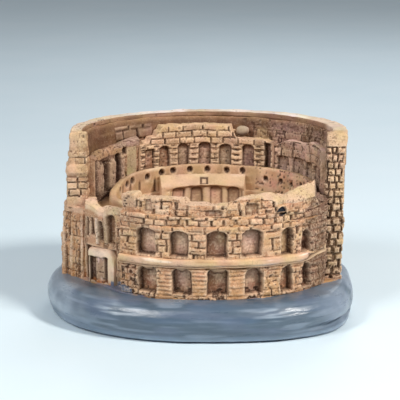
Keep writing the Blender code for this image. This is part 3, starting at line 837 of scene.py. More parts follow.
def ruined_parapet():
    """The broken top: ragged bricks at the left, and a smooth worn slope that rises to the right."""
    face = grown(FRONT_FACE, -0.9)
    span = front_span(face)
    edge = skyline(
        (-133, 41.0), (-125.4, 41.5), (-124.8, 41.3), (-124, 39.9), (-122.9, 40.6), (-117, 40.9),
        (-103, 41.2), (-101.8, 39.7), (-91, 39.3), (-82.6, 39.4), (-81, 40.5), (-76, 41.2), (-66, 41.2),
        (-61, 40.4), (-58.5, 40.2), (-55, 41.2), (-42.5, 42.4), (-33.5, 42.4), (-32.6, 41.4), (-31, 38.2),
        (-20, 36.9),
    )
    shoulder = skyline(  # how much lower the front edge is than the rear one
        (-133, 0.2), (-61, 0.3), (-57, 1.0), (-50, 2.4), (-40, 3.4), (-33.5, 3.4), (-30.5, 0.6),
    )
    bottom, _ = levels("ruined_parapet")

    def top(a, c):
        degrees = between(span, a)
        spot = np.column_stack([degrees * 0.6, np.zeros(len(a)), np.zeros(len(a))])
        ragged = 0.10 * noise(spot, 1.6, 81) + 0.12 * np.round(noise(spot, 2.4, 82) * 1.5) / 1.5
        calm = rising(degrees, -62, 10)
        return edge(degrees) + ragged * (1 - 0.8 * calm) - shoulder(degrees) * (1 - c)

    def front(f):
        """Set back from the band at the left, flush with it at the right."""
        degrees = between(span, f)
        return on_oval(face, degrees) + outward(degrees) * (0.6 * rising(degrees, -66, 8))[:, None]

    s = wall(front, FRONT_REAR, bottom, top, span=span, grid=FINE, thick_grid=0.25, radius=0.45)
    s.colour(s.everywhere, BUFF, 0.45)
    s.grain(0.36, 0.26, 0.10, seed=83)
    body = s.near & (s.angle < -58) & (s.angle > -124.5)
    s.bricks(body, 2.1, 3.6, 0.5, (0.46, 0.24), (0.75, 0.6), seed=19, start=bottom - 0.3,
             tone=0.14, lift=0.32, bold=0.5)
    s.bricks(s.near & (s.angle >= -58), 2.6, 4.6, 0.25, (0.26, 0.16), (0.4, 0.3), seed=18, start=bottom,
             tone=0.05, lift=0.1)
    s.pits(s.near, 0.6, 0.22, 0.18, seed=84, dark=0.7)
    # Shallow windows, a pale block, four pocks at the left and a crack
    s.niche(s.near, s.at(-117.9), 1.0, bottom + 0.9, bottom + 4.7, 0.9, 0.6, dark=0.55, lit=1.3)
    s.niche(s.near, s.at(-70.3), 1.9, bottom + 0.4, bottom + 3.6, 0.7, 0.55, inside=BROWN, dark=0.65)
    s.niche(s.near, s.at(-87.8), 2.3, bottom + 0.2, bottom + 2.0, 0.6, 0.4, inside=BROWN, dark=0.45)
    pale = s.near & (np.abs(s.angle + 111.0) < 3.2) & (s.z < bottom + 3.0)
    s.colour(pale, CREAM, 0.85)
    s.height += 0.25 * pale
    s.colour(s.near & (s.angle < -124) & (s.z > bottom + 1.5), CREAM, 0.5)
    for k, shift in enumerate((0.0, 0.55, 0.1, 0.6)):
        pock_x, pock_z = s.at(-131.2) + shift, bottom + 1.4 + 0.8 * k
        cut = band(np.hypot((s.along - pock_x) / 0.45, (s.z - pock_z) / 0.25), 0, 1) * s.near
        s.height -= 0.4 * cut
        s.add_wash_and_shade(cut)
    crack = band(s.angle, -124.0, 0.4) * s.near * (s.z > bottom + 2)
    s.height -= 0.5 * crack
    s.add_wash_and_shade(0.8 * crack)
    slope = s.top | (s.near & (s.angle > -62) & (s.z > edge(s.angle) - shoulder(s.angle) - 0.9))
    s.colour(slope, (0.62, 0.44, 0.28), 0.8)
    s.wash_and_shade *= 1 - 0.7 * (s.top & (s.angle > -66))
    s.colour(s.far, BROWN, 0.6)
    # Painted shade, nearly black, where the parapet runs into the gap at the quoin
    gap = rising(s.angle, -34.5, 2.5)
    s.colour(gap * s.everywhere, (0.11, 0.055, 0.045), 0.85)
    s.pits(s.near & (s.angle > -50), 0.8, 0.4, 0.2, seed=86, dark=0.55)
    darken_ends(s, -42.0, -34.0)
    round_hole(s)
    return s.made("ruined_parapet", "sandstone", ROUGH)


# ---- The arena ----

PEG_HOLES = (  # angles and heights
    (22, 36.6), (33, 36.0), (43, 36.3), (55, 36.5), (71, 38.4), (81, 38.4), (93, 38.6), (104, 38.7),
    (115, 38.7), (123, 38.3), (134, 37.5), (148, 37.3), (154, 36.6), (166, 35.6),
)


def arena_bowl():
    """The smooth ring, with poked holes on its inner side and a rim that sinks at the left and in front."""
    bottom, top = levels("arena_bowl")
    rim = skyline(
        (0, 39.8), (30, 39.8), (60, 40.1), (95, 40.4), (138, 39.9), (156, 38.9), (170, 37.0), (182, 36.2),
        (200, 36.0), (270, 36.9), (330, 38.6), (360, 39.8),
    )

    def rim_height(a, c):
        return rim(360 * a) - 0.35 * (1 - c) + (top - 39.5)

    s = wall(arc(BOWL, 0, 360), arc(grown(BOWL, -2.1), 0, 360), bottom - 1.5, rim_height, span=(0, 360),
             grid=0.25, thick_grid=0.25, closed=True, radius=0.8)
    s.colour(s.everywhere, (0.485, 0.315, 0.18), 0.9)
    s.grain(0.26, 0.12, 0.04, seed=101)
    rough = band(s.angle, 42, 14, 1.3)
    s.colour(s.far * falling(s.angle, 66, 10) * rising(s.angle, -5, 20), (0.70, 0.47, 0.32), 0.75)
    s.colour(s.far * rough * s.blotch(0.6, 1.2, 105), (0.74, 0.36, 0.25), 0.6)
    s.pits(s.far & (s.angle < 62), 0.6, 0.42, 0.25, seed=102, dark=0.75)
    s.streaks(s.everywhere, (0.74, 0.56, 0.37), 0.5, (7, 7, 1.2), seed=103)
    s.streaks(s.far, BROWN, 0.35, (2.0, 2.0, 6.0), seed=104, threshold=0.2)
    for degrees in (128.0, 141.0, 150.0, 160.0):
        crease = band(s.along, s.at(degrees), 0.5) * s.far * falling(s.z, 37.2, 1.2)
        s.height -= 0.35 * crease
        s.add_wash_and_shade(0.7 * crease)
    for degrees, z in PEG_HOLES:
        s.hole(s.far, s.at(degrees), z, 0.95 if degrees > 60 else 0.8, 1.1)
    s.add_wash_and_shade(0.5 * s.near * falling(s.z, bottom + 1.6, 1.5))
    return s.made("arena_bowl", "cream", SMOOTH, brush=0.35, soften=2)


def arena_arcade():
    """Four small arches under a smooth lean-to roof, with a square scored into it."""
    low, high = box("arena_arcade")
    back = Oval(BOWL.cx, BOWL.cy, BOWL.a - 2.4, high[1] - BOWL.cy + 1.2)
    front = Oval(BOWL.cx, BOWL.cy, back.a - 3.1, back.b - 5.5)
    span = (128.0, 67.0)

    def roof(_, c):
        return 35.3 + 2.3 * smooth(c * 1.2) ** 0.8

    s = wall(arc(front, *span), arc(back, 125.0, 68.5), low[2] - 0.5, roof, span=span, grid=FINE,
             thick_grid=0.25, radius=0.9)
    s.colour(s.everywhere, (0.60, 0.415, 0.26), 0.9)
    s.grain(0.18, 0.07, 0.02, seed=111)
    foot, first, last = 20.0, s.at(114.5), s.at(74.5)
    s.niche(s.near, (first + last) / 2, (last - first) / 2 + 2.6, foot, 34.7, 1.6, 0.8, soft=0.6,
            inside=(0.52, 0.35, 0.225), dark=0.5, lit=0.0)
    for k, degrees in enumerate((75.2, 87.3, 100.8, 113.8)):
        inside = MAUVE if k % 2 else (0.36, 0.22, 0.15)
        s.niche(s.near, s.at(degrees), 1.85, foot, 34.3, 1.0, 1.3, inside=inside, dark=0.9, lit=0.35)
        pillar = band(s.along, s.at(degrees + 6.6), 0.7, 1.3) * s.near * (s.z < 34.2)
        s.colour(pillar, (0.62, 0.44, 0.29), 0.8)
        s.wash_and_shade *= 1 - 0.7 * pillar
    s.streaks(s.near & (s.z < 33.4), (0.58, 0.40, 0.30), 0.4, (1.2, 1.2, 5.0), seed=112)
    s.streaks(s.top, (0.74, 0.56, 0.38), 0.5, (6, 2, 6), seed=113)
    from_hole = np.abs(s.points[:, :2] - on_oval(grown(BOWL, -6.6), 96.0))
    rim = band(np.maximum(from_hole[:, 0], from_hole[:, 1] * 0.8), 0.95, 0.4, 1.3) * s.top
    s.height -= 0.35 * rim
    s.add_wash_and_shade(rim)
    return s.made("arena_arcade", "cream", SMOOTH, brush=0.3, soften=2)


def round_plate(node, steps, profile, side_rows, overlap=0.0):
    """A plate as wide as its node's oval. Its profile holds shares of that oval and heights."""
    low, high = box(node)
    middle, half = (low[:2] + high[:2]) / 2, (high[:2] - low[:2]) / 2 + overlap
    loop = on_oval(Oval(*middle, *half), np.arange(steps) * 360 / steps)
    return disc(np.array([level_loop(loop, share, z, middle) for share, z in profile]), side_rows)


def arena_floor():
    """The rough floor inside the bowl."""
    low, high = box("arena_floor")
    profile = [(0.5, low[2]), (1.0, low[2]), (1.0, high[2])] + [(1 - k / 40, high[2]) for k in range(1, 40)]
    s = round_plate("arena_floor", 160, profile, (1, 2), 0.8)
    s.colour(s.everywhere, (0.50, 0.33, 0.20), 0.9)
    s.grain(0.25, 0.14, 0.05, seed=121)
    s.pits(s.top, 0.9, 0.25, 0.2, seed=122, dark=0.5)
    return s.made("arena_floor", "sandstone", ROUGH)


def looped(points):
    """A path round a loop of points, whose fractions count the points."""
    closed = np.concatenate([points, points[:1]])
    stops = np.arange(len(closed))
    return lambda f: np.stack([np.interp(f * len(points), stops, closed[:, k]) for k in (0, 1)], -1)


def core_block():
    """The mass under everything. Its top shows as the smooth floor of the moat round the bowl."""
    bottom, top = levels("core_block")
    angles = np.arange(360.0)
    rear = angles <= 180
    outline = np.where(rear[:, None], on_oval(CORE, angles), on_oval(grown(FRONT_BACK, -0.4), angles))
    pocket = on_oval(grown(BOWL, -2.8), angles)
    s = wall(looped(outline), looped(pocket), bottom, top + 0.15, span=(0, 360), grid=0.5, closed=True)
    s.colour(s.everywhere, (0.52, 0.36, 0.22), 0.9)
    s.grain(0.25, 0.10, 0.03, seed=131)
    s.streaks(s.top, CREAM, 0.5, (3, 3, 3), seed=132)
    s.colour(s.top * s.blotch(0.7, 3.0, 133), (0.40, 0.23, 0.095), 0.8)
    return s.made("core_block", "umber", SMOOTH)


# ---- The tall horseshoe wall ----

BAYS = 11  # round the outside
WAIST = 49.5  # above it the tall wall thins
WALL_TOP = box("wall_coping")[1][2]


def storey(node, opening, seed, depth=1.7, bottom=None, tuck=0.5):
    """One storey of the outer side: a blind arch in each bay, half-columns between them and a ledge on top.
    opening holds an arch's half width, foot, head and rise. tuck is how far the storey's two ends draw back
    behind the piers that cover them."""
    oval = rear_oval(node)
    low, top = levels(node)
    bottom = low if bottom is None else bottom
    span = (0, 180)
    s = wall(arc(oval, *span), arc(WALL_INSIDE, *span), bottom, top, span=span, grid=0.26, thick_grid=0.6)
    thinning = 1.3 * s.through * rising(s.z, WAIST, WALL_TOP - WAIST)
    s.points[:, :2] += outward(s.angle) * thinning[:, None]
    s.colour(s.everywhere, BUFF, 0.3)
    s.grain(seed=seed)
    s.bricks(s.near, 2.15, 3.6, 0.38, (0.26, 0.2), (0.7, 0.75), seed=seed + 1, start=low)
    s.pits(s.near, 0.6, 0.2, 0.18, seed=seed + 2, dark=0.6)
    for bay in range(1, BAYS):
        away = np.abs(s.along - s.at(180 * bay / BAYS))
        shaft = smooth((1.35 - away) / 0.9) * s.near
        s.height = s.height * (1 - 0.6 * shaft) + 0.75 * shaft
        s.wash_and_shade *= 1 - 0.7 * shaft
        s.add_wash_and_shade(0.45 * band(away, 1.45, 0.5, 1.2) * s.near)
        s.colour(shaft, CREAM, 0.35)
    half, sill, head, rise = opening
    for k in range(BAYS):
        degrees = 180 * (k + 0.5) / BAYS
        wide = half * (1 + 0.06 * (hashed(np.array(k), seed) - 0.5))
        s.niche(s.near, s.at(degrees), wide, sill, head, rise, depth, inside=BROWN if k % 2 else MAUVE)
        s.pits(s.near & s.beside(degrees, half), 0.55, 0.3, 0.12, seed=seed + 4 + k, dark=0.5)
    ledge = rising(s.z, top - 1.5, 0.4) * s.near
    s.height = s.height * (1 - 0.8 * ledge) + 0.7 * ledge
    s.wash_and_shade *= 1 - ledge
    # Painted shadow in a band under the ledge
    s.add_wash_and_shade(0.6 * band(s.z, top - 1.75, 0.35, 1.3) * s.near)
    s.colour(ledge, CREAM, 0.8)
    s.streaks(ledge, ORANGE, 0.4, (8, 8, 0.8), seed=seed + 3)
    tip = smooth((8 - np.minimum(s.angle, 180 - s.angle)) / 5) * s.near
    s.height = s.height * (1 - 0.7 * tip) - tuck * tip
    inner_side(s)
    return s


def inner_side(s):
    """The wall's inner face: brushed brown, turning purple and rough at the right."""
    right = falling(s.angle, 72, 25)
    s.colour(s.far, INNER_BROWN)
    s.streaks(s.far, INNER_TAN, 0.25, (9, 9, 1.0), seed=200)
    s.streaks(s.far, (0.12, 0.055, 0.028), 0.6, (8, 8, 1.1), seed=201, threshold=0.05)
    s.colour(s.far * s.blotch(0.4, 2.0, 204), (0.22, 0.110, 0.055), 0.5)
    s.colour(s.far * right * s.blotch(0.6, 3.0, 202), PURPLE, 0.8)
    s.colour(s.far * rising(s.z, WALL_TOP - 3.0, 1.4), INNER_TAN, 0.55)
    s.height += 0.12 * noise(s.points, 1.2, 206) * s.far
    s.pits(s.far & (s.angle < 75), 0.7, 0.42, 0.25, seed=203, dark=0.6)
    s.grit[s.far] = 0.3 + 0.4 * right[s.far]


def outer_wall():
    """Four storeys. The attic has small square openings, and block and brick work on its inner side."""
    half, rise = 2.7, 2.2
    for node, foot, head, seed, options in (
        ("outer_wall_first_storey", 13.8, 20.4, 300, {"bottom": GROUND, "tuck": 0.9}),
        ("outer_wall_second_storey", 23.6, 30.2, 330, {}),
        ("outer_wall_third_storey", 34.2, 42.0, 360, {}),
    ):
        storey(node, (half, foot, head, rise), seed, **options).made(node, "sandstone", STONE)
    node = "outer_wall_attic"
    s = storey(node, (1.3, 47.4, 50.4, 0.2), 400, depth=0.9, tuck=0.4)
    blocks = s.far & (s.angle > 119) & (s.angle < 142) & (s.z > 47.6) & (s.z < 52.4)
    s.bricks(blocks, 3.1, 6.4, 0.55, (0.46, 0.38), (1.0, 1.0), seed=9, start=48.2, lift=0.3, bold=0.8)
    s.colour(blocks & (s.z > 49), (0.30, 0.185, 0.125), 0.5)
    rows = s.far & (s.angle < 66) & (s.z < 51.0)
    s.bricks(rows, 2.2, 3.8, 0.35, (0.3, 0.22), (0.6, 0.6), seed=10)
    # Darker in patches in a band just under the coping, on the inner side
    under_coping_patches = smooth(0.5 + noise(s.points / np.array([6, 6, 1]), 1.0, 205))
    s.add_wash_and_shade(0.3 * s.far * falling(s.z, 53.4, 0.6) * rising(s.z, 51.2, 0.8) * under_coping_patches)
    s.made(node, "sandstone", STONE)


def wall_coping():
    """The pale, smooth top of the tall wall."""
    node = "wall_coping"
    oval = rear_oval(node)
    bottom, top = levels(node)
    span = (-0.5, 180.5)

    def outer(f):
        """Drawn in at its ends, where the piers stand."""
        degrees = between(span, f)
        drawn_in = 0.45 * smooth(1 - np.minimum(degrees, 180 - degrees) / 16)
        return on_oval(oval, degrees) - outward(degrees) * drawn_in[:, None]

    s = wall(outer, arc(grown(WALL_INSIDE, 1.3), *span), bottom, top, span=span, grid=0.26, thick_grid=0.3,
             radius=0.45)
    s.colour(s.everywhere, (0.60, 0.455, 0.325))
    s.grain(0.18, 0.12, 0.03, seed=501)
    middle = smooth((np.minimum(s.angle, 180 - s.angle) - 12) / 14)
    s.streaks(middle * s.everywhere, (0.74, 0.66, 0.58), 0.8, (9, 9, 1.0), seed=502, threshold=-0.2)
    inner = s.far * rising(s.angle, 9, 9)
    s.colour(inner, (0.30, 0.165, 0.095), 0.95)
    s.streaks(inner, INNER_BROWN, 0.5, (7, 7, 0.7), seed=503, threshold=0.1)
    s.pits(s.top | s.far, 0.7, 0.16, 0.12, seed=504, dark=0.5)
    ragged = (s.top & (s.through > 0.45)) | s.far
    s.pits(ragged & (s.angle > 148), 0.75, 0.5, 0.25, seed=505, dark=0.75)
    s.pits(s.angle > 165, 0.5, 0.3, 0.1, seed=506, dark=0.35)
    s.grit[:] = 0.5
    return s.made(node, "cream", SMOOTH, brush=0.4, soften=2)


# ---- The galleries on its inner side ----


def gallery(face, bottom, top, span, grid=FINE, radius=0.6):
    """A wall from a face to the inside of the tall one."""
    back = arc(WALL_INSIDE, *span)
    return wall(arc(face, *span), back, bottom, top, span=span, grid=grid, thick_grid=0.3, radius=radius)


def rear_gallery():
    """Brick blind arcade whose top steps down at both ends."""
    node = "rear_gallery"
    bottom, high = levels(node)
    span = (129.5, 51.5)
    steps = skyline(
        (51, 47.6), (73.8, 48.2), (75.2, 50.2), (76.8, 50.3), (77.2, 52.0), (115.6, 52.0), (116.6, 50.6),
        (118.2, 50.2), (119.0, 48.9), (122.4, 48.7), (123.2, 47.8), (126.0, 47.5), (126.8, 46.8), (130, 46.6),
    )

    def top(a, _):
        degrees = between(span, a)
        spot = np.column_stack([degrees, np.zeros(len(a)), np.zeros(len(a))])
        return steps(degrees) + 0.18 * noise(spot, 2.6, 601) + high - 51.9

    s = gallery(GALLERY_FACE, bottom, top, span)
    s.colour(s.everywhere, (0.68, 0.465, 0.285), 0.8)
    s.grain(0.2, 0.10, 0.05, seed=602)
    s.bricks(s.near & (s.z > 46.2), 2.05, 4.6, 0.46, (0.30, 0.24), (0.95, 0.95), seed=25, start=46.1,
             lift=0.25, tone=0.14, bold=0.75)
    s.bricks(s.near & (s.z <= 46.2), 1.75, 4.0, 0.36, (0.2, 0.26), (0.2, 0.95), seed=26, start=39.3,
             lift=0.12, bold=0.9)
    openings = (
        (66.8, 1.9, 46.0, PURPLE), (80.0, 1.8, 45.9, (0.36, 0.25, 0.16)),
        (91.3, 1.95, 46.4, (0.38, 0.23, 0.155)), (103.2, 1.8, 46.1, (0.34, 0.22, 0.14)),
        (114.2, 1.6, 45.6, BROWN),
    )
    for k, (degrees, half, head, inside) in enumerate(openings):
        s.niche(s.near, s.at(degrees), half, 38.6, head, 1.3, 1.25, soft=0.45, inside=inside, dark=0.9,
                lit=0.3)
        s.pits(s.near & s.beside(degrees, half), 0.5, 0.34, 0.12, seed=603 + k, dark=0.6)
    # A deep slot, painted near black inside as painted shade
    s.niche(s.near, s.at(54.6), 1.0, 38.0, 47.0, 0.4, 1.9, inside=(0.10, 0.05, 0.04), dark=1.0, lit=0.0)
    far_left = s.near & (s.angle > 119) & (s.z < 46)
    s.niche(far_left, s.at(123.4), 1.6, 38.0, 44.9, 0.7, 0.9, soft=0.6, inside=EARTH_AND_SHADE, dark=0.8)
    s.pits(far_left, 0.7, 0.5, 0.3, seed=613, dark=0.8)
    piers = ((127.4, 1.0), (119.0, 1.0), (108.7, 0.6), (97.3, 0.6), (85.6, 0.6), (73.5, 1.0), (60.5, 0.9))
    for degrees, strength in piers:
        for z in (40.6, 42.4, 44.1, 45.6):
            dash = band(s.z, z, 0.26, 1.5) * band(s.along, s.at(degrees), 0.85, 1.5) * s.near
            s.height -= 0.4 * strength * dash
            s.add_wash_and_shade(strength * dash)
    s.streaks(s.near & (s.angle > 80), ORANGE, 0.3, (4, 4, 2), seed=612)
    s.colour(s.near * falling(s.angle, 64, 8), PURPLE, 0.4)
    s.colour((s.angle < 53.4) & s.everywhere, (0.33, 0.20, 0.145), 0.9)
    return s.made(node, "sandstone", STONE, brush=0.6)


def left_colonnade():
    """Rounded pillars and gaps under a brown lintel, painted shade in the gaps and below the lintel, and a
    plain panel at the right.
    """
    node = "left_colonnade"
    face = grown(CORE, -2.2)
    bottom, high = levels(node)
    span = (178.5, 129.0)
    lintel = skyline((129, 49.4), (142, 48.0), (160, 47.5), (179, 47.0))

    def top(a, c):
        return lintel(between(span, a)) + high - 47.4 - 0.8 * (1 - c)

    s = gallery(face, bottom, top, span, grid=GRID, radius=1.0)
    s.colour(s.everywhere, (0.33, 0.185, 0.105), 0.9)
    s.grain(0.30, 0.20, 0.08, seed=701)
    s.pits(s.near | s.top, 0.8, 0.40, 0.25, seed=706, dark=0.6)
    s.streaks(s.near & (s.z > 45), (0.46, 0.27, 0.15), 0.45, (7, 7, 1), seed=702)
    s.colour((s.top | (s.near & (s.z > 46.5))) * falling(s.angle, 150, 8), (0.28, 0.185, 0.145), 0.7)
    # Painted shade in the recess under the lintel
    s.colour(s.near & (s.angle > 143) & (s.z < 45.0), (0.24, 0.135, 0.10), 0.7)
    for degrees, half in ((165.8, 1.5), (151.5, 1.6), (142.3, 0.9)):
        shaft = band(s.along, s.at(degrees), half) * s.near * falling(s.z, 44.2, 1.0)
        s.height += 0.5 * shaft
        s.colour(shaft * (0.75 + 0.25 * noise(s.points, 1.3, 707)), (0.47, 0.315, 0.215), 0.9)
        s.height += 0.25 * noise(s.points, 1.4, 708) * shaft
    s.pits(s.near & (s.angle < 144) & (s.angle > 138), 0.7, 0.4, 0.2, seed=703, dark=0.7)
    panel = s.near & (np.abs(s.angle - 134.8) < 3.4) & (s.z < 46.4)
    s.wash_and_shade *= 1 - 0.8 * panel
    s.height = np.where(panel, 0.25 * noise(s.points, 4.0, 709), s.height)
    s.colour(panel, (0.47, 0.35, 0.20), 0.95)
    # The gaps, painted near black inside as painted shade
    for degrees, half, foot, head in (
        (176.5, 2.5, 33.0, 45.2), (158.2, 1.45, 34.0, 43.4), (145.4, 0.85, 35.5, 44.8),
        (140.0, 0.6, 44.6, 46.4),
    ):
        s.niche(s.near, s.at(degrees), half, foot, head, 0.6, 1.9, soft=0.8, inside=(0.040, 0.016, 0.018),
                dark=1.0, lit=0.0)
    # Painted shade in blotches just under the lintel, where the face is also cut back
    under = s.near * band(s.z, 43.7, 0.9, 1.5) * (s.angle > 147)
    blotch = smooth(0.8 + 1.2 * noise(s.points, 1.3, 704)) * under
    s.height -= 0.6 * blotch
    s.add_wash_and_shade(0.9 * blotch)
    # Painted shade, deepening towards the bottom
    s.add_wash_and_shade(0.85 * s.near * falling(s.z, 36.8, 3.0) * rising(s.angle, 140, 8))
    return s.made(node, "umber", STONE, brush=0.25)


def right_gallery():
    """Rough purple-brown masonry with faint blind arches."""
    node = "right_gallery"
    face = grown(CORE, -1.9)
    bottom, high = levels(node)
    span = (51.0, -0.5)
    ragged = skyline((-1, 48.8), (20, 49.6), (30, 48.6), (44, 48.4), (52, 46.6))

    def top(a, _):
        return ragged(between(span, a)) + high - 48.6

    s = gallery(face, bottom, top, span)
    s.colour(s.everywhere, (0.64, 0.415, 0.315))
    s.grain(0.3, 0.22, 0.10, seed=801)
    s.bricks(s.near, 2.7, 4.4, 0.42, (0.34, 0.28), (0.7, 0.75), seed=31, lift=0.25, tone=0.16, bold=0.6)
    s.streaks(s.near, (0.66, 0.46, 0.34), 0.55, (2.5, 2.5, 2.0), seed=803, threshold=0.2)
    for degrees, half, head in ((46.0, 1.7, 43.4), (33.5, 2.3, 43.6), (22.0, 1.9, 43.2), (12.0, 1.6, 43.0)):
        s.niche(s.near, s.at(degrees), half, 37.5, head, 0.6, 0.6, soft=0.4, inside=(0.44, 0.29, 0.22),
                dark=1.0, lit=0.5)
    s.pits(s.near, 0.65, 0.3, 0.24, seed=802, dark=0.75)
    s.colour(s.near * falling(s.angle, 16, 10), (0.20, 0.11, 0.10), 0.6)
    return s.made(node, "umber", ROUGH, brush=0.45)


def fallen_stone():
    """A round stone that has worn into a soft cube."""
    low, high = box("fallen_stone")
    middle, half = (low + high) / 2, (high - low) / 2
    turns = np.arange(64) * 360 / 64
    rings = []
    for lift in np.radians(np.linspace(-80, 80, 33)):
        loop = np.column_stack([outward(turns) * math.cos(lift), np.full(64, math.sin(lift))])
        rings.append(middle + np.sign(loop) * np.abs(loop) ** 0.85 * half)
    s = disc(np.array(rings), (0, 32))
    s.colour(s.everywhere, (0.42, 0.315, 0.22))
    s.height += 0.25 * noise(s.points, 1.8, 901) + 0.06 * noise(s.points, 0.6, 902)
    # Painted shade over its lower half, where it sits down
    s.wash_and_shade = 0.85 * falling(s.z, middle[2] + 0.1, 1.2)
    return s.made("fallen_stone", "cream", SMOOTH)


# ---- The ends of the tall wall, the terrace and the porch ----


def right_quoin():
    """The brick end of the tall wall: every course is cut, with dark wash in the joints."""
    low, high = box("right_quoin")
    y0, y1 = low[1], high[1] + GLUE + 0.3
    x0, x1 = low[0] - 0.3, high[0]
    low_corners = ((x0, y1), (x0, y0), (x1 - 2.1, y0 + 0.8), (x1 - 1.7, y1))
    high_corners = ((x0 + 1.0, y1), (x0 + 1.0, y1 - 3.6), (x1 - 0.2, y1 - 3.2), (x1, y1))
    s = column(low_corners, high_corners, GROUND, high[2] + 0.2, grid=0.18)
    waist = np.exp(-((s.z - 43) / 8.0) ** 2) * smooth((s.points[:, 0] - x0 - 2) / 4)
    s.points[:, 0] -= 0.95 * waist
    s.colour(s.everywhere, (0.475, 0.305, 0.170), 0.85)
    s.grain(0.28, 0.18, 0.08, seed=1001)
    below = s.z < high[2] - 3.6
    s.bricks(s.near & below, 2.12, 3.5, 0.75, (0.62, 0.44), (0.97, 0.95), seed=37, lift=0.25, tone=0.18,
             bold=0.9)
    s.pits(s.near & ~below, 0.6, 0.25, 0.12, seed=1002, dark=0.45)
    s.pits(s.near & below, 0.6, 0.28, 0.16, seed=1004, dark=0.65)
    lower = falling(s.z, 35.0, 6.0) * s.near
    s.colour(lower * s.blotch(0.6, 2.2, 1005), (0.27, 0.165, 0.085), 0.6)
    s.pits(lower, 0.9, 0.3, 0.3, seed=1006, dark=0.75)
    inner = s.near & (s.points[:, 0] < x0 + 1.5)
    s.colour(inner, PURPLE, 0.6)
    s.add_wash_and_shade(0.6 * inner * s.blotch(0.6, 3.0, 1003))
    s.colour(s.near * falling(s.z, GROUND + 2.2, 1.5), (0.26, 0.12, 0.07), 0.7)
    s.colour(s.top | (s.near & ~below), CREAM, 0.6)
    return s.made("right_quoin", "sandstone", STONE, brush=0.7)


def left_pier_upper():
    """Smooth and speckled at the top, bricks and a bulging ledge below."""
    low, high = box("left_pier_upper")
    y0, y1 = low[1], high[1] + GLUE + 0.3
    x0, x1 = low[0], high[0] + 0.3
    low_corners = ((x0, y1), (x0 + 0.3, y0 + 0.7), (x1 - 0.3, y0), (x1, y1))
    high_corners = ((x0 + 1.4, y1), (x0 + 1.5, y1 - 1.9), (x1 - 0.2, y1 - 2.4), (x1, y1))
    bottom, top = low[2] - GLUE, high[2] + 0.2
    s = column(low_corners, high_corners, bottom, top, radius=1.0)
    s.points[:, 0] -= 0.5 * np.exp(-((s.z - 42.2) / 2.0) ** 2) * smooth((x0 + 2.5 - s.points[:, 0]) / 2)
    s.colour(s.everywhere, (0.55, 0.355, 0.21), 0.85)
    s.grain(0.3, 0.14, 0.05, seed=1101)
    upper = s.near & (s.z > 45.4) & (s.z < 49.0)
    lower = s.near & (s.z > 35.4) & (s.z < 41.2)
    s.bricks(upper, 1.9, 4.4, 0.40, (0.28, 0.24), (0.7, 0.95), seed=41, start=45.5, bold=0.8)
    s.bricks(lower, 2.0, 3.9, 0.5, (0.38, 0.28), (0.9, 0.95), seed=42, start=35.9, bold=0.95)
    s.pits(s.near & (s.z > 48.5), 0.6, 0.36, 0.16, seed=1102, dark=0.45)
    s.height += 0.16 * noise(s.points, 1.3, 1104)
    bulge = band(s.z, 43.8, 1.3, 1.6) * s.near
    s.height += 0.45 * bulge
    s.colour(bulge, (0.60, 0.37, 0.215), 0.8)
    inner = smooth((s.points[:, 0] - x1 + 2.2) / 1.6) * s.near
    s.colour(inner * s.blotch(0.7, 1.0, 1103), EARTH_AND_SHADE, 0.6)
    s.wash_and_shade *= 1 - bulge
    # Painted shadow in a band under the bulging ledge
    s.add_wash_and_shade(0.7 * s.near * band(s.z, 41.6, 0.4, 1.2))
    s.streaks(s.near & (s.z < 42), RUST, 0.35, (3, 3, 1.5), seed=1105)
    s.colour(s.near & (s.z > 50.5), CREAM, 0.4)
    s.colour(s.top, CREAM, 0.8)
    return s.made("left_pier_upper", "sandstone", STONE)


def left_pier_lower():
    """Furrows, brick cuts and three pale ridges, like worn half-columns, below a pale ledge."""
    low, high = box("left_pier_lower")
    y0, y1 = low[1], high[1] + GLUE + 0.3
    x0, x1 = low[0], high[0] + 0.3
    low_corners = ((x0 + 0.8, y1), (x0 + 1.3, y0 + 5.4), (x0 + 6.5, y0 + 0.2), (x1, y0), (x1, y1))
    high_corners = ((x0 + 1.7, y1), (x0 + 2.0, y0 + 5.8), (x0 + 6.7, y0 + 2.2), (x1, y0 + 2.0), (x1, y1))
    top = high[2] + 0.3
    s = column(low_corners, high_corners, GROUND, top, radius=1.3)
    s.colour(s.everywhere, (0.50, 0.245, 0.108), 0.85)
    s.grain(0.3, 0.18, 0.07, seed=1201)
    flute = noise(s.points / np.array([1.0, 1.0, 7.0]), 1.3, 1202)
    s.height += 0.42 * flute * s.near
    s.add_wash_and_shade(0.75 * smooth((-flute - 0.2) / 0.5) * s.near * (s.z < top - 1.5))
    s.bricks(s.near & (s.z < top - 1.6), 2.2, 3.2, 0.36, (0.3, 0.24), (0.55, 0.6), seed=43, bold=0.7)
    s.pits(s.near & (s.z < top - 2), 0.6, 0.30, 0.2, seed=1203, dark=0.75)
    for ridge_x, wide in ((-41.0, 0.5), (-38.6, 0.42), (-35.4, 0.5)):
        ridge = band(s.points[:, 0], ridge_x, wide) * s.near * falling(s.z, top - 1.4, 1.0)
        s.height += 0.5 * ridge
        s.wash_and_shade *= 1 - 0.7 * ridge
        s.colour(ridge * s.blotch(0.7, 1.6, 1204), (0.72, 0.49, 0.34), 0.75)
    ledge = rising(s.z, top - 2.0, 0.8) * s.near
    s.colour(ledge, CREAM, 0.7)
    s.wash_and_shade *= 1 - 0.8 * ledge
    s.colour(s.near * falling(s.z, GROUND + 4.0, 2.4), (0.56, 0.25, 0.09), 0.8)
    s.colour(s.top, CREAM, 0.75)
    return s.made("left_pier_lower", "sandstone", ROUGH)


def terrace_front():
    """The line of the terrace's face, from the left pier to the low front."""
    low, high = box("left_terrace")
    x0, y0 = low[0] - 0.6, low[1]
    return (x0, high[1] - 8.0), (x0 + 5.4, y0 + 5.3), (high[0] + 0.8, y0 - 0.2)


